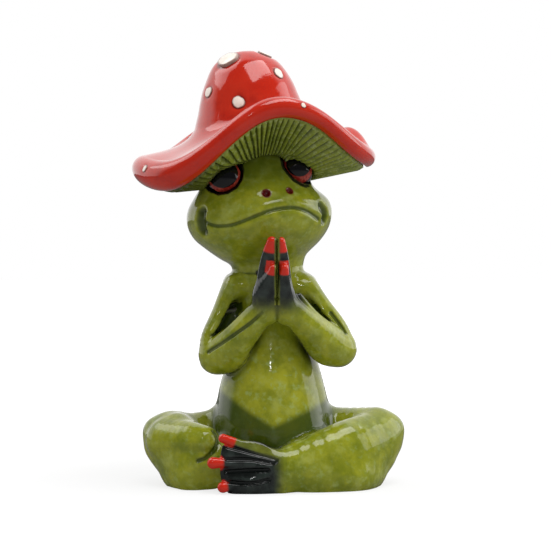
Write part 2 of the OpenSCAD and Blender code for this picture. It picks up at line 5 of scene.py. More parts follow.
import bmesh
import bpy
import numpy as np
from mathutils import Matrix, Vector


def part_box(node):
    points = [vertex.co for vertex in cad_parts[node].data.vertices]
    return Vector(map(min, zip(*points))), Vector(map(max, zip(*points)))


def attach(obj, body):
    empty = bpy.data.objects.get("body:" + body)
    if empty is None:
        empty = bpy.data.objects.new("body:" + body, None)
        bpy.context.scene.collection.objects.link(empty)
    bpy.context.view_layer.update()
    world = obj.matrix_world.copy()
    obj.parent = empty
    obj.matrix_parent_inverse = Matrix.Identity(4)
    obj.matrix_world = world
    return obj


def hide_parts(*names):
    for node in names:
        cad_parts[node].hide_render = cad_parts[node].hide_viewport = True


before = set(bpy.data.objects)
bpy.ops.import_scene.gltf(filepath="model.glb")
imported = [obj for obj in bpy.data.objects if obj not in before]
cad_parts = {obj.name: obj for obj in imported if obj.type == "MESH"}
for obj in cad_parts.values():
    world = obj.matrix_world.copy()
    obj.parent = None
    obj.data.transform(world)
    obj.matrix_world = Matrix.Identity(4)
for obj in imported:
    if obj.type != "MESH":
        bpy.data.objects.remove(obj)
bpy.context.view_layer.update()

# ---- Torso
# The largest casting: seat, belly, chest and neck in one, poured in resin and glazed green.
# It is modelled in clay: a form is the distance in mm to its skin, below zero inside,
# and forms are pressed together, carved and then cast as one skin.

MM = 0.001
BODY_GRAIN = 0.45  # mm between the points of a block of clay
FINE_GRAIN = 0.34
FRONT_ON = (0, 1, 0)          # for a limb whose half depth is measured from front to back


def smooth(stations, steps=5):
    """A smooth curve through a list of stations."""
    s = np.array(stations, float)
    ends = np.vstack([s[:1], s, s[-1:]])
    curve = []
    for i in range(len(s) - 1):
        a, b, c, d = ends[i:i + 4]
        for t in np.arange(steps) / steps:
            curve.append(0.5 * (2 * b + (c - a) * t + (2 * a - 5 * b + 4 * c - d) * t**2
                                + (3 * (b - c) + d - a) * t**3))
    return np.array(curve + [s[-1]])


def melt(a, b, fillet):
    """Two forms pressed together, with a fillet between them."""
    h = np.maximum(fillet - np.abs(a - b), 0) / fillet
    return np.minimum(a, b) - h * h * fillet / 4


def carve(a, b, fillet):
    """Form b cut out of form a, with rounded edges."""
    return -melt(-a, b, fillet)


def stack(p, sections, steps=6):
    """An upright form of level ovals: sections of height, middle x and y, half width and half depth."""
    s = smooth(sections, steps)
    x, y, z = p
    at = [np.interp(z, s[:, 0], s[:, k]).astype(np.float32) for k in range(1, 5)]
    u, v = x - at[0], y - at[1]
    rho = np.sqrt((u / at[2])**2 + (v / at[3])**2) + 1e-4
    flare = np.gradient((s[:, 3] + s[:, 4]) / 2, s[:, 0])
    slope = np.sqrt(1 + np.interp(z, s[:, 0], flare)**2).astype(np.float32)
    return (rho - 1) * (np.sqrt(u * u + v * v) + 1e-3) / rho / slope


def ball(p, at, r):
    """A ball of radius r."""
    return np.sqrt(sum((c - np.float32(o))**2 for c, o in zip(p, at))) - r


def limb(p, stations, up=(0, 0, 1), steps=5, reach=5):
    """A form along a smooth path of stations: x, y, z, half width and half depth, round at its ends."""
    path = smooth(stations, steps)
    wide = path[:, 3:].max() + reach
    low, high = path[:, :3].min(0) - wide, path[:, :3].max(0) + wide
    near = [np.nonzero((c.ravel() > a) & (c.ravel() < b))[0] for c, a, b in zip(p, low, high)]
    field = np.full([c.size for c in p], reach, np.float32)
    if min(len(n) for n in near) == 0:
        return field
    spans = [slice(n[0], n[-1] + 1) for n in near]
    p = [c.ravel()[s].reshape([-1 if k == axis else 1 for k in range(3)])
         for axis, (c, s) in enumerate(zip(p, spans))]
    best = None
    for a, b in zip(path[:-1], path[1:]):
        length = np.linalg.norm(b[:3] - a[:3])
        along = (b[:3] - a[:3]) / length
        side = np.cross(along, up)
        side = side / np.linalg.norm(side)
        lift = np.cross(side, along)
        q = [c - np.float32(o) for c, o in zip(p, a[:3])]
        s = sum(c * np.float32(n) for c, n in zip(q, along))
        t = np.clip(s / np.float32(length), 0, 1)
        w = a[3] + np.float32(b[3] - a[3]) * t
        h = a[4] + np.float32(b[4] - a[4]) * t
        u = sum(c * np.float32(n) for c, n in zip(q, side)) / w
        v = sum(c * np.float32(n) for c, n in zip(q, lift)) / h
        m = np.minimum(w, h)
        e = (s - t * np.float32(length)) / m
        k0 = np.sqrt(u * u + v * v + e * e) + 1e-4
        k1 = np.sqrt((u / w)**2 + (v / h)**2 + (e / m)**2) + 1e-5
        d = k0 * (k0 - 1) / k1
        best = d if best is None else np.minimum(best, d)
    field[tuple(spans)] = np.minimum(best, reach)
    return field


class Block:
    """A block of clay: a grid of points with a form's distance at each."""

    def __init__(self, low, high, form, grain):
        self.low, self.grain = np.array(low, float), grain
        axes = [np.arange(a, b + grain, grain, dtype=np.float32) for a, b in zip(low, high)]
        p = np.meshgrid(*axes, indexing="ij", sparse=True)
        self.d = np.ascontiguousarray(np.broadcast_to(form(p), [len(a) for a in axes]), np.float32)
        self.slope = np.gradient(self.d, grain)

    def read(self, grid, points):
        """What the grid holds at some points, between its own points too."""
        g = (points - self.low) / self.grain
        i = np.clip(np.floor(g).astype(int), 0, np.array(grid.shape) - 2)
        f = np.clip(g - i, 0, 1)
        value = 0
        for corner in product((0, 1), repeat=3):
            share = np.prod(np.where(corner, f, 1 - f), axis=1)
            value = value + share * grid[tuple((i + corner).T)]
        return value

    def normal(self, points):
        n = np.stack([self.read(s, points) for s in self.slope], 1)
        return n / (np.linalg.norm(n, axis=1)[:, None] + 1e-9)

    def settle(self, points):
        """Moves points on to the skin."""
        n = np.stack([self.read(s, points) for s in self.slope], 1)
        return points - n * (self.read(self.d, points) / ((n * n).sum(1) + 1e-6))[:, None]

    def skin(self):
        """The form's skin: a point in each cell that it crosses, and a quad round each edge."""
        d, inside = self.d, self.d < 0
        cells = [s - 1 for s in d.shape]
        full = sum(inside[tuple(slice(o, o + n) for o, n in zip(c, cells))].astype(np.int8)
                   for c in product((0, 1), repeat=3))
        crossed = (full > 0) & (full < 8)
        index = np.full(crossed.shape, -1, np.int32)
        index[crossed] = np.arange(crossed.sum())
        cell = np.argwhere(crossed)
        total, hits = np.zeros((len(cell), 3)), np.zeros((len(cell), 1))
        quads = []
        for axis in range(3):
            step = np.eye(3, dtype=int)[axis]
            u, v = np.eye(3, dtype=int)[(axis + 1) % 3], np.eye(3, dtype=int)[(axis + 2) % 3]
            for a, b in product((0, 1), repeat=2):
                base = a * u + b * v
                d0, d1 = d[tuple((cell + base).T)], d[tuple((cell + base + step).T)]
                cut = (d0 < 0) != (d1 < 0)
                t = np.where(cut, d0 / np.where(cut, d0 - d1, 1), 0)
                total += (base + step * t[:, None]) * cut[:, None]
                hits += cut[:, None]
            first = inside[tuple(slice(0, -1) if k == axis else slice(1, -1) for k in range(3))]
            last = inside[tuple(slice(1, None) if k == axis else slice(1, -1) for k in range(3))]
            edge = np.argwhere(first != last) + (1 - step)
            out = inside[tuple(edge.T)]
            ring = [index[tuple((edge - o).T)] for o in (u + v, v, 0 * u, u)]
            quad = np.stack(ring, 1)
            quad[~out] = quad[~out][:, ::-1]
            quads.append(quad)
        quads = np.concatenate(quads)
        points = self.low + (cell + total / hits) * self.grain
        for _ in range(3):
            near = np.zeros_like(points)
            count = np.zeros(len(points))
            for k in range(4):
                a, b = quads[:, k], quads[:, (k + 1) % 4]
                for i, j in ((a, b), (b, a)):
                    count += np.bincount(i, minlength=len(points))
                    for c in range(3):
                        near[:, c] += np.bincount(i, points[j, c], len(points))
            points = self.settle(0.4 * points + 0.6 * near / count[:, None])
        return points, quads


FEELER = 1.4                  # mm from the skin to where a hollow is felt


def cast(name, low, high, form, grain, cuts=(), beside=None):
    """Casts a form: its skin as a mesh, cut at planes and closed there.
    A plane is a point and the direction of what is cut away. beside is a form that stands next to it."""
    block = Block(low, high, form, grain)
    points, quads = block.skin()
    mesh = bpy.data.meshes.new(name)
    mesh.from_pydata(points * MM, [], quads.tolist())
    mesh.shade_smooth()
    bm = bmesh.new()
    bm.from_mesh(mesh)
    for at, away in cuts:
        bmesh.ops.bisect_plane(
            bm, geom=bm.verts[:] + bm.edges[:] + bm.faces[:], dist=1e-7,
            plane_co=Vector(at) * MM, plane_no=away, clear_outer=True)
        rim = [e for e in bm.edges if e.is_boundary]
        for e in rim:
            e.smooth = False
        bmesh.ops.holes_fill(bm, edges=rim, sides=0)
    bm.to_mesh(mesh)
    bm.free()
    piece = stand(name, mesh)
    at = corners(piece)
    around = block
    if beside is not None:
        around = Block(low, high, lambda p: np.minimum(form(p), beside(p)), grain * 2)
    # How deep in a hollow each vertex lies: the glaze darkens there as painted shade.
    over = at + FEELER * block.normal(at)
    mark(piece, "hollow", 1 - around.read(around.d, over) / FEELER)
    return piece


def stand(name, data):
    """Stands a mesh, a lamp or a camera in the scene."""
    made = bpy.data.objects.new(name, data)
    bpy.context.scene.collection.objects.link(made)
    return made


def corners(piece):
    """A piece's vertices, in mm."""
    at = np.zeros(len(piece.data.vertices) * 3)
    piece.data.vertices.foreach_get("co", at)
    return at.reshape(-1, 3) / MM


def mark(piece, name, values):
    """Keeps a number from 0 to 1 at each vertex, for the glaze to follow."""
    layer = piece.data.attributes.new(name, "FLOAT", "POINT")
    layer.data.foreach_set("value", np.clip(values, 0, 1).astype(np.float32))


def bump(values, low, high):
    """0 below low, 1 above high, smooth between them."""
    t = np.clip((values - low) / (high - low), 0, 1)
    return t * t * (3 - 2 * t)


FLOOR_CUT = ((0, 0, 0), (0, 0, -1))  # the flat underside
NECK = (-2.6, 1, 76)          # the neck joint
HEAD_LEAN, HEAD_TURN = 5, 16  # degrees
head_frame = (Matrix.Translation(NECK) @ Matrix.Rotation(math.radians(-HEAD_LEAN), 4, "Y")
              @ Matrix.Rotation(math.radians(HEAD_TURN), 4, "Z"))
head_turn = np.array(head_frame.to_3x3(), np.float32)
NECK_CREASE = (72.9, 0.5, 0.45)  # height, half width, depth

TORSO_SECTIONS = [  # height, middle x and y, half width, half depth
    (-3, 0, 3, 16, 13.5), (1, 0, 3, 19, 16.5), (9, 0, 1.5, 20.5, 18.5), (18, 0, 0, 21, 19),
    (34.2, -0.5, 0, 18.1, 17), (45, -0.2, 0.5, 14.8, 14.4), (54, -0.6, 1, 12.5, 12.5),
    (66, -1.3, 1, 11.5, 11), (76, -1.9, 1, 12.1, 10), (80, -2.6, 1, 11.8, 10.8), (84, -2.6, 1, 11.4, 10),
    (88, -3, 1, 8, 7),
]
HEAD_SECTIONS = [  # in the head's frame
    (-5, -0.4, -0.4, 8.6, 7), (0, 0.4, -0.4, 11.7, 9.9), (3, -0.5, -1.1, 15.4, 13.4),
    (6.8, -0.7, -1.7, 20.0, 17.4), (11, -1.3, -2.2, 23.8, 20.2), (16, -1.5, -2.4, 25.6, 21.5),
    (20.9, -1.6, -2.1, 24.8, 21.1), (25.8, -2.3, -1.5, 20.9, 19.4), (31.2, -1.2, -0.6, 17.7, 16.8),
    (38, -1.2, 0, 14.1, 13.3), (42, -1.2, 0, 12, 12),
]


def in_head(p):
    """Points in the head's own frame."""
    q = [c - np.float32(o) for c, o in zip(p, NECK)]
    return [sum(q[k] * head_turn[k, axis] for k in range(3)) for axis in range(3)]


def neck_crease(p):
    """The shallow fold across the right front of the neck."""
    x, y, z = p
    height, half, depth = NECK_CREASE
    return depth * np.exp(-((z - height) / half)**2) * bump(-x, 4.5, 6.5) * bump(-y, 0, 3)


def trunk(p):
    """Torso, neck and head without the face."""
    form = melt(stack(p, TORSO_SECTIONS), stack(in_head(p), HEAD_SECTIONS), 3)
    return form + neck_crease(p)


# The front view: the camera stands in front of the figure and looks level along y.
CAMERA_AWAY, CAMERA_Z = 550, 80
PHOTO_PX = 551                # the photograph's width and height
MIDDLE_PX = (273.5, 253)      # the pixel straight ahead of the camera
PITCH = 0.35                  # mm for each pixel at the figure's middle


def pitch_at(y):
    return PITCH * (CAMERA_AWAY + y) / CAMERA_AWAY


def seen(px, py, y):
    """A place from the front view: the photograph's pixel, and the depth in mm."""
    return [(px - MIDDLE_PX[0]) * pitch_at(y), y, CAMERA_Z - (py - MIDDLE_PX[1]) * pitch_at(y)]


def in_view(at):
    """Where places in mm are seen in the front view, in the photograph's pixels."""
    pitch = pitch_at(at[:, 1])
    return np.stack([MIDDLE_PX[0] + at[:, 0] / pitch, MIDDLE_PX[1] - (at[:, 2] - CAMERA_Z) / pitch], 1)


def off_line(at, line):
    """How far places are from a line of pixels in the front view, in pixels."""
    seen_at, line = in_view(at), np.array(line, float)
    best = np.full(len(at), 1e3)
    for a, b in zip(line[:-1], line[1:]):
        t = np.clip((seen_at - a) @ (b - a) / ((b - a) @ (b - a)), 0, 1)
        best = np.minimum(best, np.linalg.norm(seen_at - a - t[:, None] * (b - a), axis=1))
    return best


def shade_along(at, line, low, high):
    """1 on a line of pixels in the front view, out to low, and 0 from high on, both in pixels."""
    return 1 - bump(off_line(at, line), low, high)


def on_skin(px, py, block):
    """The place on a form's skin behind a pixel of the front view."""
    ray = np.array([seen(px, py, y) for y in np.arange(-33, 20, 0.1)])
    return ray[np.argmax(block.read(block.d, ray) < 0)]


def press(form, p, lines, r, fillet):
    """Grooves pressed into a form along lines of places on its skin."""
    for line in lines:
        form = carve(form, limb(p, [[*q, r, r] for q in line], FRONT_ON), fillet)
    return form


SHOULDERS = {-1: (-10.8, 0, 68.2), 1: (8.8, 0, 68.8)}
ELBOWS = {-1: (-19.4, -9, 44.6), 1: (22.2, -9, 47.1)}
WRIST_CUT, WRIST_Y, WRIST_OUT = 62.5, -20, 3.1
PALMS = 1.2                   # the plane between the palms
ARM_BENDS = {  # along the upper arm, along the forearm, and the bottom of the hollow between them
    -1: ([seen(232.5, 284, -3), seen(218.5, 312, -6), seen(208.5, 336, -8)], (-11.3, -15.6, 51.5),
         [(-11, 1, 64), (-16.5, -4, 52)]),
    1: ([seen(307.5, 285, -3), seen(323, 305, -6), seen(337.5, 326, -8)], (12.6, -15.6, 54.4),
        [(10, -1, 67), (18, -6.5, 56)]),
}
ARM_RIDGES = {  # the inner edge of the upper arm, and the ridge along the forearm
    -1: ([seen(234.5, 290, -6.5), seen(223, 312, -9.5), seen(212.5, 332, -12)],
         [seen(207.5, 349.5, -12), seen(229, 331, -17), seen(251, 309.5, -19)]),
    1: ([seen(304, 285, -6.5), seen(319, 304, -9.5), seen(335, 325, -12)],
        [seen(299, 296.5, -19), seen(318, 317.5, -17), seen(346, 338, -12)]),
}
ARM_FOLDS = {-1: [(208, 352), (222, 343), (236, 333.5), (250, 323.5), (262, 313)],
             1: [(331, 313), (338, 322), (346, 333)]}


def arm_clay(p, side):
    """An arm down to the wrist: the upper arm, the forearm in front of it, and the hollow between them."""
    shoulder, elbow = SHOULDERS[side], ELBOWS[side]
    wrist = (PALMS + side * WRIST_OUT, WRIST_Y, WRIST_CUT)
    bends, middle, floor = ARM_BENDS[side]
    edge, ridge = ARM_RIDGES[side]
    upper = limb(p, [[*shoulder, 4.6, 4.6], [*bends[0], 3.2, 4.6], [*bends[1], 2.55 + 0.2 * side, 4.4],
                     [*bends[2], 2.8 + 0.3 * side, 4.6], [*elbow, 6.3, 6.3]], FRONT_ON)
    upper = melt(upper, limb(p, [[*q, 1.0, 1.0] for q in edge], FRONT_ON), 0.6)
    yoke = limb(p, [[side * 2 - 1.5, -2.5, 71, 6, 6.5],
                    [shoulder[0] + side * 0.6, -3, 67.2, 4.0, 5.4]], FRONT_ON)
    upper = melt(upper, yoke, 4)
    upper = melt(upper, limb(p, [[*q, 4.4, 2.6] for q in floor], FRONT_ON), 1.2)
    near = [0.6 * a + 0.4 * b for a, b in zip(elbow, middle)]
    near[2] -= 1.3
    fore = limb(p, [[*elbow, 6.3, 6.3], [*near, 7.0, 6.4], [*middle, 5.5, 5.6], [*wrist, 4.2, 4.2]], FRONT_ON)
    fore = melt(fore, limb(p, [[*q, 1.2, 1.2] for q in ridge], FRONT_ON), 0.8)
    return melt(upper, fore, 0.8)


# The corners of the block of clay that finds the places on an arm's skin.
ARM_ROOM = {-1: ((-30, -28, 34), (0, 10, 76)), 1: ((0, -28, 34), (32, 10, 76))}
arm_folds = {}
for side in (-1, 1):
    block = Block(*ARM_ROOM[side], lambda p: arm_clay(p, side), 0.8)
    arm_folds[side] = [[on_skin(*q, block) for q in ARM_FOLDS[side]]]


def arm_form(p, side):
    """An arm with the fold along its forearm."""
    return press(arm_clay(p, side), p, arm_folds[side], 0.6, 0.5)


def arms(p):
    """Both arms, without the hands."""
    return np.minimum(arm_form(p, -1), arm_form(p, 1))


def shared(own, other, fillet, under=1.0):
    """One piece's part of two that run into each other: past the seam it dips under the other and ends."""
    past = (own - other) / 2
    return np.maximum(melt(own, other, fillet) + 0.5 * np.maximum(past, 0), past - under)


def moved(at, shift):
    return [c + s for c, s in zip(at, shift)]


def between(a, b, t):
    """The place at share t of the way from a to b."""
    return [(1 - t) * u + t * v for u, v in zip(a, b)]


KNEES = {side: (side * 35.4, -6, 14.1) for side in (-1, 1)}
HIPS = {side: (side * 12, 5, 13) for side in (-1, 1)}
ANKLES = {-1: (-13, -17, 7.2), 1: (2.9, -23.5, 7.2)}
CALF = [[-36, -8, 15.5, 8, 8], [-29, -14.3, 15.9, 7.2, 6.8], [-23.6, -17.4, 16.0, 5.6, 5.5]]


def leg_form(p, side):
    """The thigh out to the knee, and the shin back from it, lower and in front."""
    hip, knee, ankle = HIPS[side], KNEES[side], ANKLES[side]
    drop = 3 if side < 0 else 0
    thigh = limb(p, [[*moved(hip, (-side * 2, 1, -0.3 - drop)), 9.4, 12.4],
                     [*moved(between(hip, knee, 0.5), (0, 2.5, -0.8 - drop)), 10.1, 13.0],
                     [*moved(knee, (side * 0.6, 2.6, 2.4 - drop * 0.45)), 9.0, 10.0]])
    shin = limb(p, [[*moved(knee, (-side, 0, -0.2)), 8.6, 11.2],
                    [*moved(between(knee, ankle, 0.4), (0, -2.8, -1.2)), 9, 11.2 + 0.8 * side],
                    [*ankle, 5.5, 6.8 + 0.4 * side]])
    kneecap = limb(p, [[side * 41.0, -3, 18.8 + side * 0.4, 3.8, 3.8], [side * 34, -1, 17.5, 6, 6]])
    groin = limb(p, [[side * 29, 2, 18, 4.5, 4.5], [side * 20.4, 2, 20.6 - 0.6 * side, 4.2, 4.2]])
    front = [[side * 14, -19, 3.6, 6.5, 5]] if side > 0 else []
    base = limb(p, [[side * 32.6, -8.5, 3.0, 5, 4.6], [side * 27, -16.3 - 0.6 * side, 3.6, 6.5, 5], *front])
    form = melt(melt(melt(thigh, kneecap, 3), groin, 3), shin, 1.0)
    if side < 0:
        form = melt(form, limb(p, CALF), 0.7)
    return melt(form, base, 5)


LAP = 34                      # the height below which the legs run into the torso
LEG_FILLET = 4


def torso_form(p):
    """The trunk with the filled seams where the arms and legs run into it."""
    form = shared(trunk(p), arms(p), 2.2)
    low = p[2].ravel() < LAP
    q = [p[0], p[1], p[2][..., low]]
    legs = np.minimum(leg_form(q, -1), leg_form(q, 1))
    form[..., low] = shared(trunk(q), legs, LEG_FILLET)
    return form


class Wire:
    """A socket in a node tree. On a number's, Python's operators add Math nodes."""

    def __init__(self, bench, socket):
        self.bench, self.socket = bench, socket

    def maths(self, operation, *others):
        """A Math node on this number and the others."""
        return self.bench.maths(operation, self, *others)

    def __add__(self, other):
        return self.maths("ADD", other)

    def __sub__(self, other):
        return self.maths("SUBTRACT", other)

    def __rsub__(self, other):
        return self.bench.maths("SUBTRACT", other, self)

    def __mul__(self, other):
        return self.maths("MULTIPLY", other)

    def __truediv__(self, other):
        return self.maths("DIVIDE", other)

    def __rtruediv__(self, other):
        return self.bench.maths("DIVIDE", other, self)

    def __pow__(self, other):
        return self.maths("POWER", other)

    __radd__, __rmul__ = __add__, __mul__

    def rise(self, low, high):
        """0 below low, 1 above high, smooth between them."""
        return self.bench.node("ShaderNodeMapRange", {0: self, 1: low, 2: high, 3: 0.0, 4: 1.0},
                               interpolation_type="SMOOTHSTEP")


class Bench:
    """Where a node tree is put together."""

    def __init__(self, tree):
        self.tree = tree

    def node(self, kind, values=None, out=0, **settings):
        """Adds a node: its settings first, then the values or links of its sockets."""
        made = self.tree.nodes.new(kind)
        for name, value in settings.items():
            setattr(made, name, value)
        for name, value in (values or {}).items():
            if isinstance(value, Wire):
                self.tree.links.new(value.socket, made.inputs[name])
            else:
                made.inputs[name].default_value = value
        return Wire(self, made.outputs[out]) if len(made.outputs) else None

    def maths(self, operation, *values):
        return self.node("ShaderNodeMath", dict(enumerate(values)), operation=operation)


def paint(r, g, b):
    """A colour as a painter sees it, 0 to 255, as the light that it returns."""
    return tuple(((c / 255 + 0.055) / 1.055)**2.4 if c > 10 else c / 255 / 12.92 for c in (r, g, b))


class Glaze(Bench):
    """A glazed finish: a base colour built up in layers, under a clear gloss."""

    def __init__(self, name, colour):
        self.material = bpy.data.materials.new(name)
        self.material.use_nodes = True
        super().__init__(self.material.node_tree)
        self.tree.nodes.clear()
        self.place = self.node("ShaderNodeTexCoord", out="Object")
        self.colour = self.node("ShaderNodeRGB")
        self.colour.socket.default_value = (*colour, 1)

    def clouds(self, size, detail=2.0, rough=0.5, shift=0.0):
        """Soft noise with blotches of that size in mm, from 0 to 1."""
        away = (shift, shift * 0.7, -shift)
        at = self.node("ShaderNodeVectorMath", {0: self.place, 1: away}, operation="ADD")
        return self.node("ShaderNodeTexNoise",
                         {"Vector": at, "Scale": 1 / (size * MM), "Detail": detail, "Roughness": rough})

    def marked(self, name):
        """The number that a piece keeps under that name."""
        return self.node("ShaderNodeAttribute", out="Fac", attribute_name=name)

    def layer(self, mask, colour):
        """Paints a colour over the ones before it."""
        self.colour = self.node("ShaderNodeMix", {0: mask, 6: self.colour, 7: (*colour, 1)}, out=2,
                                data_type="RGBA")

    def fire(self, rough, dents, dent_size, coat=0.15, metallic=0.0):
        """Ends the tree: roughness, and the small dents of a hand-finished glaze."""
        height = self.clouds(dent_size)
        normal = self.node("ShaderNodeBump", {"Strength": 1.0, "Distance": dents * MM, "Height": height})
        surface = self.node("ShaderNodeBsdfPrincipled", {
            "Base Color": self.colour, "Roughness": rough, "Metallic": metallic, "Normal": normal,
            "Coat Weight": coat, "Coat Roughness": 0.04})
        self.node("ShaderNodeOutputMaterial", {"Surface": surface})
        return self.material


# The darkest green is painted shade for hollows and creases.
LEAF, MOSS, SHADE_GREEN = paint(132, 138, 30), paint(98, 110, 16), paint(30, 44, 6)
LIME, JADE = paint(164, 164, 40), paint(156, 176, 110)
SLATE, SLATE_DARK, BLUSH = paint(44, 52, 48), paint(9, 14, 12), paint(196, 40, 22)


def green_glaze():
    glaze = Glaze("green_glaze", LEAF)
    glaze.layer(glaze.clouds(10, 3.0).rise(0.38, 0.7) * 0.8, MOSS)
    glaze.layer(glaze.clouds(4.4, 3.0, 0.6, 0.3).rise(0.4, 0.75) * 0.45, LIME)
    glaze.layer(glaze.clouds(1.8, 3.0, 0.6, 0.7).rise(0.55, 0.3) * 0.3, MOSS)
    belly = glaze.marked("belly")
    glaze.layer(belly * glaze.clouds(6, 3.0, 0.6, 0.1).rise(0.3, 0.65) * 0.9, LIME)
    glaze.layer(glaze.clouds(2.2, 3.0, 0.6, 0.5).rise(0.5, 0.76) * (belly * 0.35 + 0.3), JADE)
    # Soft pale cream-green patches at random: partly the glaze's own pale tone, partly a painted sheen.
    glaze.layer(glaze.clouds(5.5, 3.0, 0.6, 1.3).rise(0.5, 0.72) * 0.32, paint(172, 180, 100))
    # Painted shade: dark green in hollows and creases, by how deep each point lies.
    hollow = glaze.marked("hollow")
    glaze.layer((hollow * (glaze.clouds(3, 2.0, 0.5, 0.9) * 0.5 + 0.75)).rise(0.1, 0.8) * 0.92, SHADE_GREEN)
    # Painted shade and painted shadow: the lap, the folds and hollows, along the mouth, and the hat's shadow
    # on the brow.
    glaze.layer(glaze.marked("wash") * 0.9, paint(44, 62, 10))
    slate = glaze.marked("slate")
    glaze.layer(slate, SLATE)
    # Darker slate in the hands' and foot's hollows, as painted shade, and in random patches.
    glaze.layer(slate * (hollow + glaze.clouds(4, 2.0, 0.5, 0.2) * 0.75).rise(0.2, 0.6), SLATE_DARK)
    glaze.layer(glaze.marked("tip"), BLUSH)
    glaze.layer(glaze.marked("nostril"), paint(84, 8, 6))
    # Black: the eyes' painted outlines, with painted shade deep in the cheek folds and a painted shadow
    # beside the hand.
    glaze.layer(glaze.marked("line"), paint(8, 9, 8))
    return glaze.fire(0.1, 0.05, 2.5)


GREEN = green_glaze()
GREEN_MARKS = ("belly", "wash", "slate", "tip", "nostril", "line")


def finish_casting(piece, node, slot, **marks):
    """Gives a casting its marks, its glaze and its place in the frame."""
    for name in GREEN_MARKS:
        mark(piece, name, marks.get(name, np.zeros(len(piece.data.vertices))))
    piece.data.materials.append(GREEN)
    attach(piece, "root")
    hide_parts(node)


def crease_wash(at):
    """Painted shade in the neck's fold."""
    return bump(neck_crease(at.T), 0.1, 0.4)


HOLLOW_LINES = [  # in the front view: pixels, where the shade starts and stops to fade, nearest depth
    ([(238, 296), (232, 309), (219, 331)], 3.0, 4.5, -11),
    ([(238, 298), (239, 308), (226, 323)], 3.0, 4.5, -11),
    ([(239.5, 290), (236, 302)], 1.2, 2.8, -11),
    ([(303.5, 285), (307, 297), (318, 310)], 2.0, 4.0, -13),
]
PIT_LINE = [(257.5, 272), (258.5, 275)]


def hollow_shade(at):
    """Painted shade in the hollows between arms and chest."""
    total = sum(shade_along(at, line, low, high) * (at[:, 1] > nearest)
                for line, low, high, nearest in HOLLOW_LINES)
    return np.clip(total, 0, 1) * (at[:, 1] < 4)


def painted_pit_shadow(at):
    """A painted shadow: a dark spot on the chest in the small gap beside the hand."""
    return shade_along(at, PIT_LINE, 1.5, 2.6) * (at[:, 1] < 0) * (at[:, 1] > -13)


LAP_FORK = (-0.3, 21.3)       # the bottom of the V, as x and z
LAP_SLOPES = (-0.62, 0.43)    # how it climbs to the right thigh and to the left one


def lap_shade(at):
    """Painted shade in the lap: a wide V between the thighs."""
    across = at[:, 0] - LAP_FORK[0]
    above = at[:, 2] - LAP_FORK[1] - np.where(across < 0, *LAP_SLOPES) * across
    return 0.95 * (1 - bump(above, -1.6, 1.6)) * bump(-at[:, 1], -3, 5)


BELLY = (15, 24, 30)          # the lighter oval: half width, half height, height of its middle

torso = cast("torso_casting", (-24, -22, -3), (24, 24, 82), torso_form, BODY_GRAIN,
             [FLOOR_CUT, (NECK, (0, 0, 1))])
at = corners(torso)
belly = 1 - bump(np.hypot(at[:, 0] / BELLY[0], (at[:, 2] - BELLY[2]) / BELLY[1]), 0.55, 1)
# Painted shade in the lap, the neck's fold and the hollows by the arms, and a painted shadow beside the hand.
finish_casting(torso, "torso", "green_glaze", belly=belly * (at[:, 1] < 0),
               wash=np.max([lap_shade(at), 0.8 * crease_wash(at), hollow_shade(at)], axis=0),
               line=painted_pit_shadow(at))

# ---- Head
# A second casting, pinned and glued on the neck: the wide mouth, nostrils and cheek folds are
# carved in the master, and the sockets take the two eyes.

EYE_R = 6.15
EYE_SET = {-1: (-0.5, 0, -0.3), 1: (-0.9, 0, -0.3)}  # how far each eye is pressed to its side and down
LIDS = {-1: ((0, 2.4, -0.4), 6.8, 3.0), 1: ((-1.2, 2.4, -0.4), 6.0, 1.6)}  # from the eye, radius, fillet
SOCKET_GAP = 0.25             # between the ball and its socket
EYES = {}
for side, node in ((-1, "right_eye"), (1, "left_eye")):
    low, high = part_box(node)
    EYES[side] = (low + high) / 2 / MM + Vector(EYE_SET[side])

# In the front view, in pixels: the mouth, the cheek folds and the nostrils. The last two have a radius in mm.
MOUTH_LINE = [(204, 221), (213, 225.5), (224, 226), (235, 224.3), (250, 218.5), (265, 212.5), (280, 208.6),
              (295, 207.8), (308, 212), (318, 219)]
CHEEK_FOLDS = [([(201.5, 213), (200.5, 221), (202.5, 230)], 1.8),
               ([(322, 207), (325, 213), (324, 219)], 1.6)]
NOSTRILS = [((266.3, 193.3), 1.15), ((289.6, 190.8), 0.95)]
EYE_RIMS = {  # where the black outline of each eye is seen
    -1: [(205, 177), (206.5, 183), (210, 190), (218, 194), (228, 192.5), (236.5, 187), (241.3, 179),
         (242.5, 170), (241, 162)],
    1: [(281, 157), (283.6, 167.5), (288, 173.5), (294, 180.3), (301.6, 184.8), (306, 186.3), (312, 184),
        (315, 178), (316, 170)]}


def eye_outline(at):
    """The black line round each eye, on the lids and on the ball."""
    near = np.min([off_line(at, line) for line in EYE_RIMS.values()], axis=0)
    return (1 - bump(near, 1.0, 2.2)) * (at[:, 1] < -8)


def head_clay(p):
    """The head with its sockets and lids, before the lines of the face."""
    form = trunk(p)
    for side, eye in EYES.items():
        shift, r, fillet = LIDS[side]
        form = melt(form, ball(p, moved(eye, shift), r), fillet)
    for eye in EYES.values():
        form = carve(form, ball(p, eye, EYE_R + SOCKET_GAP), 0.8)
        form = carve(form, ball(p, moved(eye, (0, -2.2, 0)), EYE_R - 0.1), 0.8)
    return form


MOUTH_R = 0.6
HEAD_LOW, HEAD_HIGH = (-33, -28, 73), (27, 24, 118)
head_block = Block(HEAD_LOW, HEAD_HIGH, head_clay, 0.9)


def over_skin(places, lift):
    """A smooth line of pixels as places over the head's skin."""
    line = np.array([on_skin(*q, head_block) for q in smooth(places, 4)])
    return line + head_block.normal(line) * lift


mouth = over_skin(MOUTH_LINE, 0.2)
folds = [(over_skin(line, 0.15 * r), r) for line, r in CHEEK_FOLDS]
holes = [(on_skin(*place, head_block), r) for place, r in NOSTRILS]


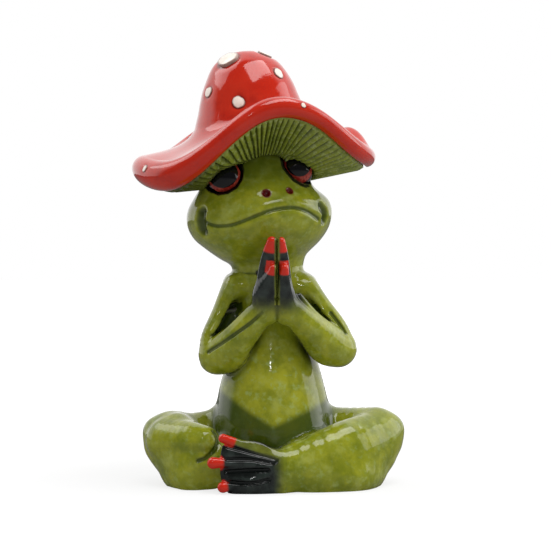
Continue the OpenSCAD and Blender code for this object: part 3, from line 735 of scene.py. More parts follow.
def off_places(p, places):
    """How far points are from a line of places."""
    return limb(p, [[*q, 0.1, 0.1] for q in places], FRONT_ON, steps=1, reach=8) + 0.1


def lip(off, at, height):
    """A low ridge of clay pushed up beside a groove, at a distance from its line."""
    return height * np.exp(-(off - at)**2)


def head_form(p):
    """The head with the mouth, the cheek folds and the nostrils."""
    form = head_clay(p)
    line = off_places(p, mouth)
    form = carve(form - lip(line, 1.9, 0.3), line - MOUTH_R, 0.4)
    for fold, r in folds:
        crease = off_places(p, fold)
        form = carve(form - lip(crease, r + 1.3, 0.15), crease - r, 1.6)
    for place, r in holes:
        form = carve(form, ball(p, place, r), 0.15)
    return form


def off_nearest(at, places):
    """How far places are from the nearest of some others."""
    return np.min([np.linalg.norm(at - np.array(q), axis=1) for q in places], axis=0)


HEAD_H = 38                   # from the neck joint to the hat's seat

head = cast("head_casting", HEAD_LOW, HEAD_HIGH, head_form, BODY_GRAIN * 0.9, [
    (NECK, (0, 0, -1)), (head_frame @ Vector((0, 0, HEAD_H)), head_frame.to_3x3() @ Vector((0, 0, 1)))])
at = corners(head)
rims = off_nearest(at, EYES.values()) - EYE_R
pockets = np.min([off_nearest(at, fold) - r for fold, r in folds], axis=0)
pits = np.min([off_nearest(at, [place]) - r for place, r in holes], axis=0)
front = at[:, 1] < -6
# Painted shade in the cheek folds and along the mouth, and the hat's painted shadow across the brow.
brow = bump(at[:, 2], 99, 109) * front
wash = np.max([1 - bump(pockets, -0.2, 1.0), 0.72 * brow,
               0.75 * shade_along(at, smooth(MOUTH_LINE, 4), 0.9, 2.5) * front], axis=0)
# The black outline: the eyes' painted rims, and painted shade deep in the cheek folds.
outline = np.max([1 - bump(rims, 1.0, 1.5), eye_outline(at), 0.7 * (1 - bump(pockets, -0.8, 0.6))], axis=0)
finish_casting(head, "head", "green_glaze", wash=wash, line=outline, nostril=1 - bump(pits, 0.4, 0.75))

# ---- Eyes
# Two turned balls glued in the sockets: painted black with a red-brown iris, then clear gloss.
# The heavy lids and the gills leave only their lower fronts to see.

# The way that each pupil and iris faces, and the degrees from its middle to its edge.
PUPILS = {-1: ((-0.14, -0.93, 0.36), 55), 1: ((0.21, -0.93, 0.38), 44)}
IRISES = {-1: ((-0.06, -0.93, 0.22), 67), 1: ((0.14, -0.93, 0.22), 64)}
CORNEA_RISE = 0.03            # share of the ball's radius


def eye_gloss():
    glaze = Glaze("eye_gloss", paint(10, 10, 12))
    glaze.layer(glaze.marked("iris"), paint(132, 32, 24))
    # Lighter red-brown flecks at random in the iris: a painted highlight.
    glaze.layer(glaze.marked("iris") * glaze.clouds(0.9, 2.0).rise(0.35, 0.7) * 0.6, paint(176, 84, 64))
    glaze.layer(glaze.marked("pupil"), paint(5, 5, 8))
    return glaze.fire(0.05, 0.01, 3, 0.0)


def painted_disc(at, eye, disc, soft):
    """1 inside a round mark on an eyeball, fading over some degrees at its edge."""
    facing, turn = disc
    way = at - np.array(eye)
    cosine = way @ np.array(facing) / np.linalg.norm(way, axis=1) / np.linalg.norm(facing)
    return 1 - bump(np.degrees(np.arccos(np.clip(cosine, -1, 1))), turn - soft, turn + soft)


EYE_PAINT = eye_gloss()
for side, name, node in ((-1, "right_eyeball", "right_eye"), (1, "left_eyeball", "left_eye")):
    bm = bmesh.new()
    bmesh.ops.create_icosphere(bm, subdivisions=6, radius=EYE_R)
    gaze = Vector(PUPILS[side][0]).normalized()
    for v in bm.verts:
        facing = max(0, v.co.normalized().dot(gaze))
        v.co *= 1 + CORNEA_RISE * facing**4
        v.co += EYES[side]
        v.co *= MM
    mesh = bpy.data.meshes.new(name)
    bm.to_mesh(mesh)
    bm.free()
    mesh.shade_smooth()
    eye = stand(name, mesh)
    at = corners(eye)
    mark(eye, "iris", painted_disc(at, EYES[side], IRISES[side], 2) * (1 - eye_outline(at)))
    mark(eye, "pupil", painted_disc(at, EYES[side], PUPILS[side], 1.5))
    mesh.materials.append(EYE_PAINT)
    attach(eye, "root")
    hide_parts(node)

# ---- Mushroom hat
# One casting: a bell-shaped crown on a wide waved brim with a rolled rim, glazed red, seated on
# the head by a pin. Its shape follows a rule round the axis, so Geometry Nodes turn it.

BRIM_W, BRIM_D, RIM_T, BRIM_OFF = 86, 75, 7, 1
CROWN_R, CROWN_H = 18.2, 37
BRIM_RISE, BRIM_WAVE, BRIM_LEVEL = 5.3, 8.2, 0.9
BRIM_DIP, BRIM_DIP_SIDES = 0.032, 0.058  # the hollow of the brim, as shares of the crown's height
SEAT_R, SEAT_Z = 15.5, HEAD_H + 0.1      # the flat that sits on the head
UNDER_IN, UNDER_DOWN = 0.9, 0.6          # from the middle of the rim to the edge of the rebate
CROWN_LINE = [  # shares of the crown's radius and height, down to where the brim begins
    (0, 1.0), (0.28, 0.985), (0.5, 0.93), (0.68, 0.845), (0.86, 0.68), (0.95, 0.55), (1.02, 0.44),
    (1.1, 0.34),
]
LOBES = (  # degrees round, spread in degrees, height
    (208, 32, -3.8), (166, 22, 2.0), (68, 20, 1.6), (41, 15, 2.0), (20, 17, 6.5), (9, 11, 4.2),
    (294, 14, 0.7),
)
SWELL = (194, 36, 3.4)        # degrees round, spread, how much thicker the rolled rim is there
CROWN_LEAN = (0.9, 0.5)       # from low on the crown, and again near its top


def lobe(a, degrees, spread):
    """How near an angle is to a lobe of the brim, 1 at its middle."""
    turn = (a - math.radians(degrees) + math.pi) % (2 * math.pi) - math.pi
    return np.exp(-(turn / math.radians(spread))**2)


def rim_t(a):
    """The rolled rim's thickness."""
    return RIM_T + SWELL[2] * lobe(a, *SWELL[:2])


def rim_r(a):
    """From the axis to the middle of the rim."""
    return (1 / np.hypot(np.cos(a) / (BRIM_W / 2), np.sin(a) / (BRIM_D / 2))
            - rim_t(a) / 2 - BRIM_OFF * np.cos(a))


def rim_z(a):
    """The height of the middle of the rim."""
    return (HEAD_H + BRIM_RISE + BRIM_WAVE * (2 * np.sin(a)**4 - 1) - BRIM_LEVEL * np.cos(a)
            + sum(height * lobe(a, *where) for *where, height in LOBES))


def dip_share(t):
    """How deep the brim's hollow is at a share of the way from crown to rim."""
    return math.sin(math.pi * t**0.6)


def hat_profile():
    """Rows of: own radius, share of the rim's radius, own height, share of the rim's height, hollow,
    and the shares of half the rim's thickness in radius and height."""
    rows = [(r * CROWN_R, 0, HEAD_H + z * CROWN_H, 0, 0, 0, 0) for r, z in smooth(CROWN_LINE, 12)]
    r0, z0 = rows[-1][0], rows[-1][2]
    for t in np.linspace(0, 1, 48)[1:-1]:
        rows.append(((1 - t) * r0, t, (1 - t) * z0, t, dip_share(t), 0, t))
    for b in np.radians(np.linspace(90, -90, 24)):
        rows.append((0, 1, 0, 1, 0, math.cos(b), math.sin(b)))
    for t in np.linspace(1, 0, 12):
        rows.append(((1 - t) * SEAT_R - t * UNDER_IN, t, (1 - t) * SEAT_Z - t * UNDER_DOWN, t, 0, 0, 0))
    rows.append((0, 0, SEAT_Z, 0, 0, 0, 0))
    return np.array(rows)


class Rule(Bench):
    """A Geometry Nodes tree with named inputs."""

    def __init__(self, name, **inputs):
        super().__init__(bpy.data.node_groups.new(name, "GeometryNodeTree"))
        face = self.tree.interface
        face.new_socket("Geometry", in_out="INPUT", socket_type="NodeSocketGeometry")
        face.new_socket("Geometry", in_out="OUTPUT", socket_type="NodeSocketGeometry")
        for label, value in inputs.items():
            socket = face.new_socket(label, in_out="INPUT", socket_type="NodeSocketFloat")
            socket.default_value = value
        self.values = inputs
        self.way_in = self.tree.nodes.new("NodeGroupInput")

    def given(self, label):
        return Wire(self, self.way_in.outputs[label])

    def named(self, name, kind="FLOAT"):
        """A number or a direction that the points keep under that name."""
        return self.node("GeometryNodeInputNamedAttribute", {0: name}, data_type=kind)

    def of_row(self, name, row):
        """A number of the profile's rows, read at a row."""
        return self.node("GeometryNodeSampleIndex", {
            "Geometry": self.given("Geometry"), "Value": self.named(name), "Index": row},
            data_type="FLOAT", domain="POINT")

    def place(self, geometry, x, y, z):
        """Moves each point to a place."""
        at = self.node("ShaderNodeCombineXYZ", {0: x, 1: y, 2: z})
        return self.node("GeometryNodeSetPosition", {"Geometry": geometry, "Position": at})

    def keep(self, geometry, name, value):
        """Keeps a number at each point, for the glaze to follow."""
        return self.node("GeometryNodeStoreNamedAttribute", {
            "Geometry": geometry, "Name": name, "Value": value}, data_type="FLOAT", domain="POINT")

    def noise(self, x, y, z, scale):
        """Slow noise at a place, about 0.5."""
        at = self.node("ShaderNodeCombineXYZ", {0: x, 1: y, 2: z})
        return self.node("ShaderNodeTexNoise", {"Vector": at, "Scale": scale, "Detail": 1.0})

    def weld(self, geometry, distance):
        """Joins points that lie on one another."""
        return self.node("GeometryNodeMergeByDistance", {"Geometry": geometry, "Distance": distance})

    def apply(self, piece, material):
        """Runs the tree on a piece and leaves a plain mesh in its place."""
        changer = piece.modifiers.new("rule", "NODES")
        changer.node_group = self.tree
        for item in self.tree.interface.items_tree:
            if item.in_out == "INPUT" and item.name in self.values:
                changer[item.identifier] = self.values[item.name]
        evaluated = piece.evaluated_get(bpy.context.evaluated_depsgraph_get())
        mesh = bpy.data.meshes.new_from_object(evaluated)
        piece.modifiers.clear()
        piece.data = mesh
        mesh.materials.clear()
        mesh.materials.append(material)

    def close(self, geometry, material):
        """Ends the tree."""
        whole = self.node("GeometryNodeRealizeInstances", {0: geometry})
        done = self.node("GeometryNodeSetMaterial", {"Geometry": whole, "Material": material})
        self.node("NodeGroupOutput", {0: done})


def profile_piece(name, rows, labels):
    """A line of points, one for each row, that keeps the row's numbers."""
    mesh = bpy.data.meshes.new(name)
    points = [(k * MM, 0, 0) for k in range(len(rows))]
    mesh.from_pydata(points, [(k, k + 1) for k in range(len(rows) - 1)], [])
    for label, values in zip(labels, np.array(rows).T):
        mesh.attributes.new(label, "FLOAT", "POINT").data.foreach_set("value", values.astype(np.float32))
    return stand(name, mesh)


def turned_grid(rule, rows, steps):
    """A grid whose columns go round the axis: the grid, its row numbers and its angles in radians."""
    grid = rule.node("GeometryNodeMeshGrid", {"Vertices X": rows, "Vertices Y": steps + 1})
    index = rule.node("GeometryNodeInputIndex")
    row = (index / (steps + 1) + 0.0001).maths("FLOOR")
    column = index - row * (steps + 1)
    return grid, row, column * (2 * math.pi / steps)


def rim_rule(rule, angle):
    """The rim's radius, height and half thickness at an angle, and the angle's cosine and sine."""
    cos, sin = angle.maths("COSINE"), angle.maths("SINE")

    def near(degrees, spread):
        turn = (angle - math.radians(degrees)).maths("WRAP", math.pi, -math.pi) / math.radians(spread)
        return (turn * turn * -1).maths("EXPONENT")

    half = rule.given("Rim") * 0.5 + near(*SWELL[:2]) * (SWELL[2] * MM / 2)
    across = (cos / (rule.given("Brim width") * 0.5))**2 + (sin / (rule.given("Brim depth") * 0.5))**2
    radius = 1 / across**0.5 - half - rule.given("Offset") * cos
    wave = rule.given("Wave") * (2 * (sin * sin)**2 - 1)
    height = rule.given("Rise") + wave - rule.given("Level") * cos + HEAD_H * MM
    for *where, rise in LOBES:
        height = height + near(*where) * rise * MM
    return radius, height, half, cos, sin


def red_glaze():
    glaze = Glaze("red_glaze", paint(184, 34, 13))
    glaze.layer(glaze.clouds(14, 2.0).rise(0.42, 0.66) * 0.7, paint(190, 44, 22))
    glaze.layer(glaze.clouds(6, 3.0, 0.6, 0.4).rise(0.5, 0.75) * 0.5, paint(150, 20, 10))
    glaze.layer(glaze.clouds(1.2, 3.0, 0.6, 0.8).rise(0.58, 0.75) * 0.25, paint(206, 60, 34))
    glaze.layer(glaze.marked("seat").rise(0.0, 1.0) * 0.7, paint(88, 10, 8))
    return glaze.fire(0.1, 0.06, 3.5, 0.3)


RED = red_glaze()
HAT_STEPS = 256
ROW_NAMES = ("own_r", "with_r", "own_z", "with_z", "hollow_z", "roll_r", "roll_z")
WELD = 0.01 * MM
BRIM_INPUTS = {"Brim width": BRIM_W * MM, "Brim depth": BRIM_D * MM, "Rim": RIM_T * MM,
               "Offset": BRIM_OFF * MM, "Rise": BRIM_RISE * MM, "Wave": BRIM_WAVE * MM,
               "Level": BRIM_LEVEL * MM}

rows = hat_profile()
hat = profile_piece("hat_casting", rows, ROW_NAMES)
rule = Rule("waved_brim", **BRIM_INPUTS, **{"Hollow": CROWN_H * MM})
grid, row, angle = turned_grid(rule, len(rows), HAT_STEPS)
radius, height, half, cos, sin = rim_rule(rule, angle)
own_r, with_r, own_z, with_z, hollow_z, roll_r, roll_z = (rule.of_row(name, row) for name in ROW_NAMES)
r = own_r * MM + with_r * radius + roll_r * half
dip = rule.given("Hollow") * (cos * cos * BRIM_DIP_SIDES + BRIM_DIP)
z = own_z * MM + with_z * height - dip * hollow_z + roll_z * half
rule.close(rule.weld(rule.place(grid, r * cos, r * sin, z), WELD), RED)
rule.apply(hat, RED)


def crown_radius(h):
    """The crown's radius at a share of its height."""
    line = smooth(CROWN_LINE, 12)[::-1]
    return np.interp(h, line[:, 1], line[:, 0] * CROWN_R)


def brim_top(a, t):
    """Radius and height of the brim's upper side at a share of the way from crown to rim."""
    r0, z0 = CROWN_LINE[-1][0] * CROWN_R, HEAD_H + CROWN_LINE[-1][1] * CROWN_H
    dip = CROWN_H * (BRIM_DIP + BRIM_DIP_SIDES * math.cos(a)**2) * dip_share(t)
    return np.array([(1 - t) * r0 + t * rim_r(a), (1 - t) * z0 + t * (rim_z(a) + rim_t(a) / 2) - dip])


SPOT_D = 9
# Degrees round, and a share of SPOT_D; between them the share of the crown's height, the share of
# the way from crown to rim, or the degrees up round the rolled rim.
CROWN_SPOTS = [(216, 0.92, 0.92), (303, 0.74, 0.46), (197, 0.62, 0.45), (242, 0.48, 0.5), (325, 0.955, 0.6),
               (20, 0.70, 0.7), (65, 0.55, 0.55), (105, 0.84, 0.9), (150, 0.60, 0.6)]
BRIM_SPOTS = [(60, 0.6, 0.6), (118, 0.8, 0.4), (20, 0.8, 0.5)]
RIM_SPOTS = [(282, 20, 0.2), (192, 28, 0.3)]


def spot_places():
    """Place, outward direction and radius of each spot, in the hat's frame."""
    found = []
    for degrees, h, share in CROWN_SPOTS:
        a = math.radians(degrees)
        rise = math.atan2(crown_radius(h - 0.01) - crown_radius(h + 0.01), 0.02 * CROWN_H)
        found.append((a, crown_radius(h), HEAD_H + h * CROWN_H, rise, share))
    for degrees, t, share in BRIM_SPOTS:
        a = math.radians(degrees)
        p, q = brim_top(a, t), brim_top(a, t - 0.05)
        found.append((a, p[0], p[1], math.pi / 2 + math.atan2(p[1] - q[1], p[0] - q[0]), share))
    for round_hat, tilt, share in RIM_SPOTS:
        a, b = math.radians(round_hat), math.radians(tilt)
        half = rim_t(a) / 2
        found.append((a, rim_r(a) + half * math.cos(b), rim_z(a) + half * math.sin(b), b, share))
    return [(Vector((r * math.cos(a), r * math.sin(a), z)),
             Vector((math.cos(b) * math.cos(a), math.cos(b) * math.sin(a), math.sin(b))), share * SPOT_D / 2)
            for a, r, z, b, share in found]


def lean(at):
    """The crown leans a little to the frog's right."""
    at = np.array(at)
    up = (at[:, 2] - HEAD_H) / CROWN_H
    at[:, 0] -= CROWN_LEAN[0] * bump(up, 0.1, 0.6) + CROWN_LEAN[1] * bump(up, 0.7, 1)
    return at


HAT_SEAT = Matrix.Translation(Vector(NECK) * MM) @ head_frame.to_3x3().to_4x4()


def face_out(piece):
    """Turns a piece's faces outwards and shades them smooth."""
    bm = bmesh.new()
    bm.from_mesh(piece.data)
    bmesh.ops.recalc_face_normals(bm, faces=bm.faces)
    bm.to_mesh(piece.data)
    bm.free()
    piece.data.shade_smooth()


spots = spot_places()
at = corners(hat)
normals = np.zeros(len(at) * 3)
hat.data.vertices.foreach_get("normal", normals)
normals = normals.reshape(-1, 3)
outwards = normals * np.sign((normals * at).sum(1).mean())
seat, sink = np.zeros((2, len(at)))
for place, out, r in spots:
    off = np.linalg.norm(at - np.array(place), axis=1) / r
    sink = np.maximum(sink, (1 - bump(off, 0.75, 1.7)) * min(0.5, r * 0.14))
    seat = np.maximum(seat, 1 - bump(off, 0.95, 1.3))
at = lean(at - outwards * sink[:, None])
hat.data.vertices.foreach_set("co", (at * MM).ravel())
hat.data.transform(HAT_SEAT)
mark(hat, "seat", seat)
face_out(hat)
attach(hat, "root")
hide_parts("mushroom_cap")

# ---- Gills
# A ring pressed into the rebate under the brim: fine ribs run from the head to the rim.
# Geometry Nodes turn it by the same rule as the brim, then it is fitted round head and eyes.

GILL_COUNT = 100
GILL_STEPS = GILL_COUNT * 10
GILL_H = 1.5
GILL_WAVER = 0.12             # radians that the ribs wander, from one side to the other
GILL_CLEAR = 0.15             # the gap over the head
EDGE_T = 2.6
GILL_IN_R, GILL_IN_DROP, GILL_IN_WAVE = 14.5, 5.3, 4.5  # the inner edge: radius, how far it hangs, its wave
GILL_GAP = 1.05               # inside the middle of the rim
GILL_BACK, GILL_DOWN = 0.8, 0.9  # below it: the plain side, and where EDGE_T is measured from
GILL_EDGE = [  # pixels and depths along the lower edge, as it is seen over the brow and the eyes
    (190, 230, -18), (202, 191, -18), (209, 182, -18), (219, 170, -19), (239, 162.5, -19), (262, 155, -19),
    (283, 152.5, -19), (295, 154.5, -19), (307, 161.5, -18), (315, 170, -18), (330, 230, -16),
]


def gill_glaze():
    glaze = Glaze("gill_glaze", paint(130, 140, 48))
    glaze.layer(glaze.clouds(5, 3.0).rise(0.4, 0.65) * 0.6, paint(92, 106, 32))
    glaze.layer(glaze.clouds(1.2, 2.0, 0.6, 0.6).rise(0.48, 0.7) * 0.7, paint(156, 166, 104))
    # Painted shade in the grooves between the ribs.
    glaze.layer(glaze.marked("groove").rise(0.1, 0.85) * 0.66, paint(30, 40, 6))
    # Painted shadow on the ring's left front.
    glaze.layer(glaze.marked("shade"), paint(44, 48, 12))
    return glaze.fire(0.16, 0.04, 1.5)


GILL_PAINT = gill_glaze()
# Rows: share of the way out to the rim, share of the way up from the ribbed side to the plain one, and
# depth of the ribs. They go out along the ribs, up the outer edge, back on top and down the inner edge.
rows = ([(t, 0, 1) for t in np.linspace(0, 1, 22)] + [(1, 0.5, 0.4), (1, 1, 0)]
        + [(t, 1, 0) for t in (0.7, 0.4, 0.12, 0)] + [(0, 0.5, 0), (0, 0, 1)])
gills = profile_piece("gill_casting", rows, ("way", "top", "rib"))
rule = Rule("ribbed_ring", **BRIM_INPUTS, **{
    "Rib": GILL_H * MM, "Inner": GILL_IN_R * MM, "Inner drop": GILL_IN_DROP * MM,
    "Inner wave": GILL_IN_WAVE * MM, "Edge": EDGE_T * MM, "Waver": GILL_WAVER})
grid, row, angle = turned_grid(rule, len(rows), GILL_STEPS)
radius, height, half, cos, sin = rim_rule(rule, angle)
way, top, rib = (rule.of_row(name, row) for name in ("way", "top", "rib"))
outer = radius - GILL_GAP * MM
sag = half - rule.given("Rim") * 0.5
r = rule.given("Inner") + way * (outer - rule.given("Inner"))
inner_z = HEAD_H * MM - rule.given("Inner drop") + rule.given("Inner wave") * (2 * (sin * sin)**2 - 1)
low_z = inner_z + way * (height - GILL_DOWN * MM - rule.given("Edge") - sag - inner_z)
top_z = (1 - way) * (HEAD_H * MM) + way * (height - GILL_BACK * MM)
bend = rule.noise(cos * 3, sin * 3, way * 0.8, 1.0)
turn = (angle + (bend - 0.5) * rule.given("Waver")) * (GILL_COUNT / 2)
crest = turn.maths("SINE").maths("ABSOLUTE")**0.8
fade = ((1 - way) * 14).maths("MINIMUM", 1)
z = low_z + top * (top_z - low_z) - rib * fade * (crest - 0.5) * rule.given("Rib")
# How deep in a groove each point lies, for the painted shade.
grooved = rule.keep(rule.place(grid, r * cos, r * sin, z), "groove", (1 - crest) * rib * fade)
rule.close(rule.weld(grooved, WELD), GILL_PAINT)
rule.apply(gills, GILL_PAINT)


def over_eyes(at):
    """Lifts what would run through an eye over its ball, in the head's frame."""
    at = np.array(at)
    for eye in EYES.values():
        middle = np.array(head_frame.inverted() @ eye)
        room = (EYE_R + SOCKET_GAP)**2 - ((at - middle)[:, :2]**2).sum(1)
        dome = np.minimum(middle[2] + np.sqrt(np.maximum(room, 0)), HEAD_H - 0.1)
        at[:, 2] = np.where(room > 0, np.maximum(at[:, 2], dome), at[:, 2])
    return at


def over_brow(at):
    """Lifts the front of the ring to its seen edge, and keeps all of it off the head."""
    at = np.array(at)
    edge = np.array([seen(*q) for q in GILL_EDGE])
    short = np.maximum(np.interp(at[:, 0], edge[:, 0], edge[:, 2]) - at[:, 2], 0)
    at[:, 2] += 0.8 * short * bump(-at[:, 1], 8, 13) * (1 - bump(-at[:, 1], 25, 29))
    inside = np.minimum(head_block.read(head_block.d, at) - GILL_CLEAR, 0)
    return at - head_block.normal(at) * inside[:, None]


at = over_brow(over_eyes(corners(gills)) @ head_turn.astype(float).T + np.array(NECK))
gills.data.vertices.foreach_set("co", (at * MM).ravel())
# Painted shadow on the ring's left front, under the brim.
mark(gills, "shade", 0.8 * bump(-at[:, 0], 12, 28) * bump(-at[:, 1], 2, 10))
face_out(gills)
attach(gills, "root")
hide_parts("gill_ring")

# ---- Spots
# Small discs of cream enamel in shallow seats of the hat. One disc is shaped once, and
# Geometry Nodes set it at each place, turned outwards and scaled.


def cream_enamel():
    glaze = Glaze("cream_enamel", paint(238, 226, 214))
    glaze.layer(glaze.clouds(2.5, 3.0).rise(0.45, 0.7) * 0.4, paint(224, 204, 186))
    glaze.layer(glaze.marked("edge").rise(0.75, 1.0) * 0.8, paint(120, 70, 58))
    return glaze.fire(0.14, 0.05, 1.5)


CREAM = cream_enamel()
# The disc's rows go out over its top, down its side, and back to its middle underneath.
DISC_TOP, DISC_SIDE, DISC_STEPS = 7, 4, 40

mesh = bpy.data.meshes.new("spots")
mesh.from_pydata([place * MM for place, _, _ in spots], [], [])
mesh.attributes.new("size", "FLOAT", "POINT").data.foreach_set("value", [r for _, _, r in spots])
mesh.attributes.new("out", "FLOAT_VECTOR", "POINT").data.foreach_set(
    "vector", np.array([out for _, out, _ in spots], np.float32).ravel())
cream = stand("cream_spots", mesh)
rule = Rule("set_spots", **{"Dome": 0.12, "Side": 0.5, "Uneven": 0.5})  # shares of a spot's radius
grid, row, angle = turned_grid(rule, DISC_TOP + DISC_SIDE + 2, DISC_STEPS)
cos, sin = angle.maths("COSINE"), angle.maths("SINE")
t = (row / DISC_TOP).maths("MINIMUM", 1)
side = (row - DISC_TOP).maths("MAXIMUM", 0) / DISC_SIDE
closing = (row - (DISC_TOP + DISC_SIDE)).maths("MAXIMUM", 0)
wobble = rule.noise(cos, sin, 0.5, 0.9)
r = t * (1 - closing) * (0.95 + (wobble - 0.5) * rule.given("Uneven"))
z = (1 - t * t) * rule.given("Dome") - side * rule.given("Side")
disc = rule.weld(rule.keep(rule.place(grid, r * cos, r * sin, z), "edge", t), 0.0001)
size = rule.named("size") * MM
aim = rule.node("FunctionNodeAlignRotationToVector", {"Vector": rule.named("out", "FLOAT_VECTOR")}, axis="Z")
placed = rule.node("GeometryNodeInstanceOnPoints", {
    "Points": rule.given("Geometry"), "Instance": disc, "Rotation": aim,
    "Scale": rule.node("ShaderNodeCombineXYZ", {0: size, 1: size, 2: size})})
rule.close(placed, CREAM)
rule.apply(cream, CREAM)
cream.data.vertices.foreach_set("co", (lean(corners(cream)) * MM).ravel())
cream.data.transform(HAT_SEAT)
face_out(cream)
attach(cream, "root")
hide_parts("cap_spots")

# ---- Arms and hands
# Four castings: each arm is pinned into the chest at the shoulder and cut level at the wrist, where
# its hand is pinned on. The forearm lies in front of the upper arm, and the palms meet.

HAND_TILT = math.radians(19)
HAND_L = 24.5
# A finger: how far ahead its root and tip are, its share of the hand's length, and how far out it is and its
# half width at its root, middle and tip.
FINGERS = {
    -1: [(2.6, 3.3, 0.66, (2.6, 2.9), (2.0, 1.9), (1.35, 1.2)),
         (0.4, 0.6, 1, (3.2, 3.9), (2.7, 2.8), (1.75, 1.7)),
         (-2.2, -2.6, 0.8, (2.8, 3.2), (2.1, 2.1), (1.5, 1.3))],
    1: [(2.6, 3.3, 0.66, (2.4, 2.6), (2.4, 1.8), (2.5, 1.3)),
        (0.4, 0.6, 1, (2.2, 2.8), (1.8, 2.1), (1.3, 1.4)),
        (-2.2, -2.6, 0.8, (1.8, 2.2), (1.4, 1.5), (1.2, 1.1))],
}
# Near the wrist and further along the hand: how far out the palm's middle is, and its half width.
PALM_OUT = {-1: ((3.9, 4.7), (3.4, 4.2)), 1: ((3.0, 3.8), (2.4, 3.0))}
NAIL_TIP = 1.6                # from a finger's last station to its end
LONG_TIP, SHORT_TIP = 5.6, 4.2  # how far the red reaches on the middle finger and on the others
CHIN_Y = -13                  # in front of this the arms pass the chin
ARM_VALLEY = [(277, 292), (277, 318)]  # pixels down the middle of the valley between the forearms
HOLLOW_SIZE = (4.6, 4.2, 4.6)  # half sizes of the painted shade between upper arm and forearm
# The corners of the block of clay that an arm and its hand are cast from.
HAND_ROOM = {-1: ((-30, -34, 36), (PALMS + 1.4, 9, 88)), 1: ((PALMS - 1.4, -34, 36), (32, 9, 88))}


def hand_point(side, out, ahead, along):
    """A place in a hand: out from the palms' plane, ahead of the wrist, and along the hand."""
    return [PALMS + side * out, WRIST_Y - along * math.sin(HAND_TILT) - ahead * math.cos(HAND_TILT),
            WRIST_CUT + along * math.cos(HAND_TILT) - ahead * math.sin(HAND_TILT)]


def hand_form(p, side):
    """A flat hand: the palm, and three fingers that part near their tips."""
    (out0, half0), (out1, half1) = PALM_OUT[side]
    form = limb(p, [[*hand_point(side, WRIST_OUT, 0, -3), 4.2, 4.2],
                    [*hand_point(side, out0, 0, 1.5), half0, 4.5],
                    [*hand_point(side, out1, 0, HAND_L * 0.25), half1, 4.6],
                    [*hand_point(side, out1 * 0.6, 0, HAND_L * 0.5), 1.9, 4.2]], FRONT_ON)
    for start, end, share, root, middle, tip in FINGERS[side]:
        long = HAND_L * share
        form = melt(form, limb(p, [
            [*hand_point(side, root[0], start, long * 0.3), root[1], 1.7],
            [*hand_point(side, middle[0], (start + end) / 2, long * 0.68), middle[1], 1.7],
            [*hand_point(side, tip[0], end, long - NAIL_TIP), tip[1], 1.6]], FRONT_ON), 0.5)
    return form


def arm_casting(p, side):
    """The arm with its hand: it runs into the chest below the chin, and stays clear of the chin."""
    limbs = melt(melt(arm_form(p, side), arm_form(p, -side), 1.6), hand_form(p, side), 1.2)
    body = trunk(p)
    below = shared(limbs, body, 2.2)
    above = carve(limbs, body - 0.1, 0.2)
    return np.where(p[1] > CHIN_Y, below, above)


def hand_casting(p, side):
    """The same, ended at the plane between the palms."""
    return np.maximum(arm_casting(p, side), (p[0] - PALMS) * -side + 0.05)


def glove(at):
    """How far the slate colour of the hands has set in."""
    near = 1 - bump(np.abs(at[:, 0] - PALMS), 9, 12)
    return bump(at[:, 2] - (at[:, 1] - WRIST_Y) * 0.3, 58.5, 68) * near * (1 - bump(at[:, 1], -14, -11))


def beside_path(at, a, b):
    """Along a straight path from a to b, as a share of it, and the way from the path to each place."""
    a, b = np.array(a, float), np.array(b, float)
    along = (at - a) @ (b - a) / ((b - a) @ (b - a))
    return along, at - a - np.clip(along, 0, 1)[:, None] * (b - a)


def arm_wash(at, side):
    """Painted shade in an arm's hollow, along its fold, between the forearms and at the chest."""
    _, off = beside_path(at, *ARM_BENDS[side][2])
    deep = (1 - bump(np.linalg.norm(off / HOLLOW_SIZE, axis=1), 0.75, 1.1)) * (at[:, 1] < -2)
    fold = shade_along(at, ARM_FOLDS[side], 0.8, 3) * (at[:, 1] < -8)
    valley = shade_along(at, ARM_VALLEY, 0.5, 3.5) * (at[:, 1] < -12)
    return np.max([deep, 0.5 * fold, 0.5 * valley, 0.8 * crease_wash(at), hollow_shade(at)], axis=0)


def red_tips(at, side):
    """The blush on the fingers' ends."""
    tips = np.zeros(len(at))
    for _, end, share, _, middle, tip in FINGERS[side]:
        long = HAND_L * share
        top = hand_point(side, tip[0], end, long)
        base = hand_point(side, middle[0], end, long - (LONG_TIP if share == 1 else SHORT_TIP))
        along, off = beside_path(at, base, top)
        ends = bump(along, 0.0, 0.14) * (1 - bump(along, 1.02, 1.08))
        tips = np.maximum(tips, ends * (1 - bump(np.linalg.norm(off, axis=1), 2.3, 2.7)))
    return tips


for side, name in ((-1, "right"), (1, "left")):
    arm = cast(f"{name}_arm_casting", *HAND_ROOM[side], lambda p: arm_casting(p, side), FINE_GRAIN,
               [((PALMS + side * 0.02, 0, 0), (-side, 0, 0)), ((0, 0, WRIST_CUT), (0, 0, 1))], trunk)
    at = corners(arm)
    # Painted shade in the arm's hollows and fold, and a painted shadow beside the hand.
    finish_casting(arm, f"{name}_arm", "green_glaze", slate=glove(at), wash=arm_wash(at, side),
                   line=painted_pit_shadow(at))
    hand = cast(f"{name}_hand_casting", *HAND_ROOM[side], lambda p: hand_casting(p, side), FINE_GRAIN,
                [((0, 0, WRIST_CUT), (0, 0, -1))], lambda p: np.minimum(trunk(p), hand_casting(p, -side)))
    at = corners(hand)
    inner = 1 - bump(np.abs(at[:, 0] - PALMS), 0.5, 1.3)
    finish_casting(hand, f"{name}_hand", "slate_glaze", tip=red_tips(at, side) * (1 - inner),
                   slate=glove(at) * (1 - 0.8 * inner))

# ---- Legs and foot
# Two castings pinned in at the hips and folded: the frog's right leg is tucked behind, and its left
# ends in the foot, a casting of its own with three toes.

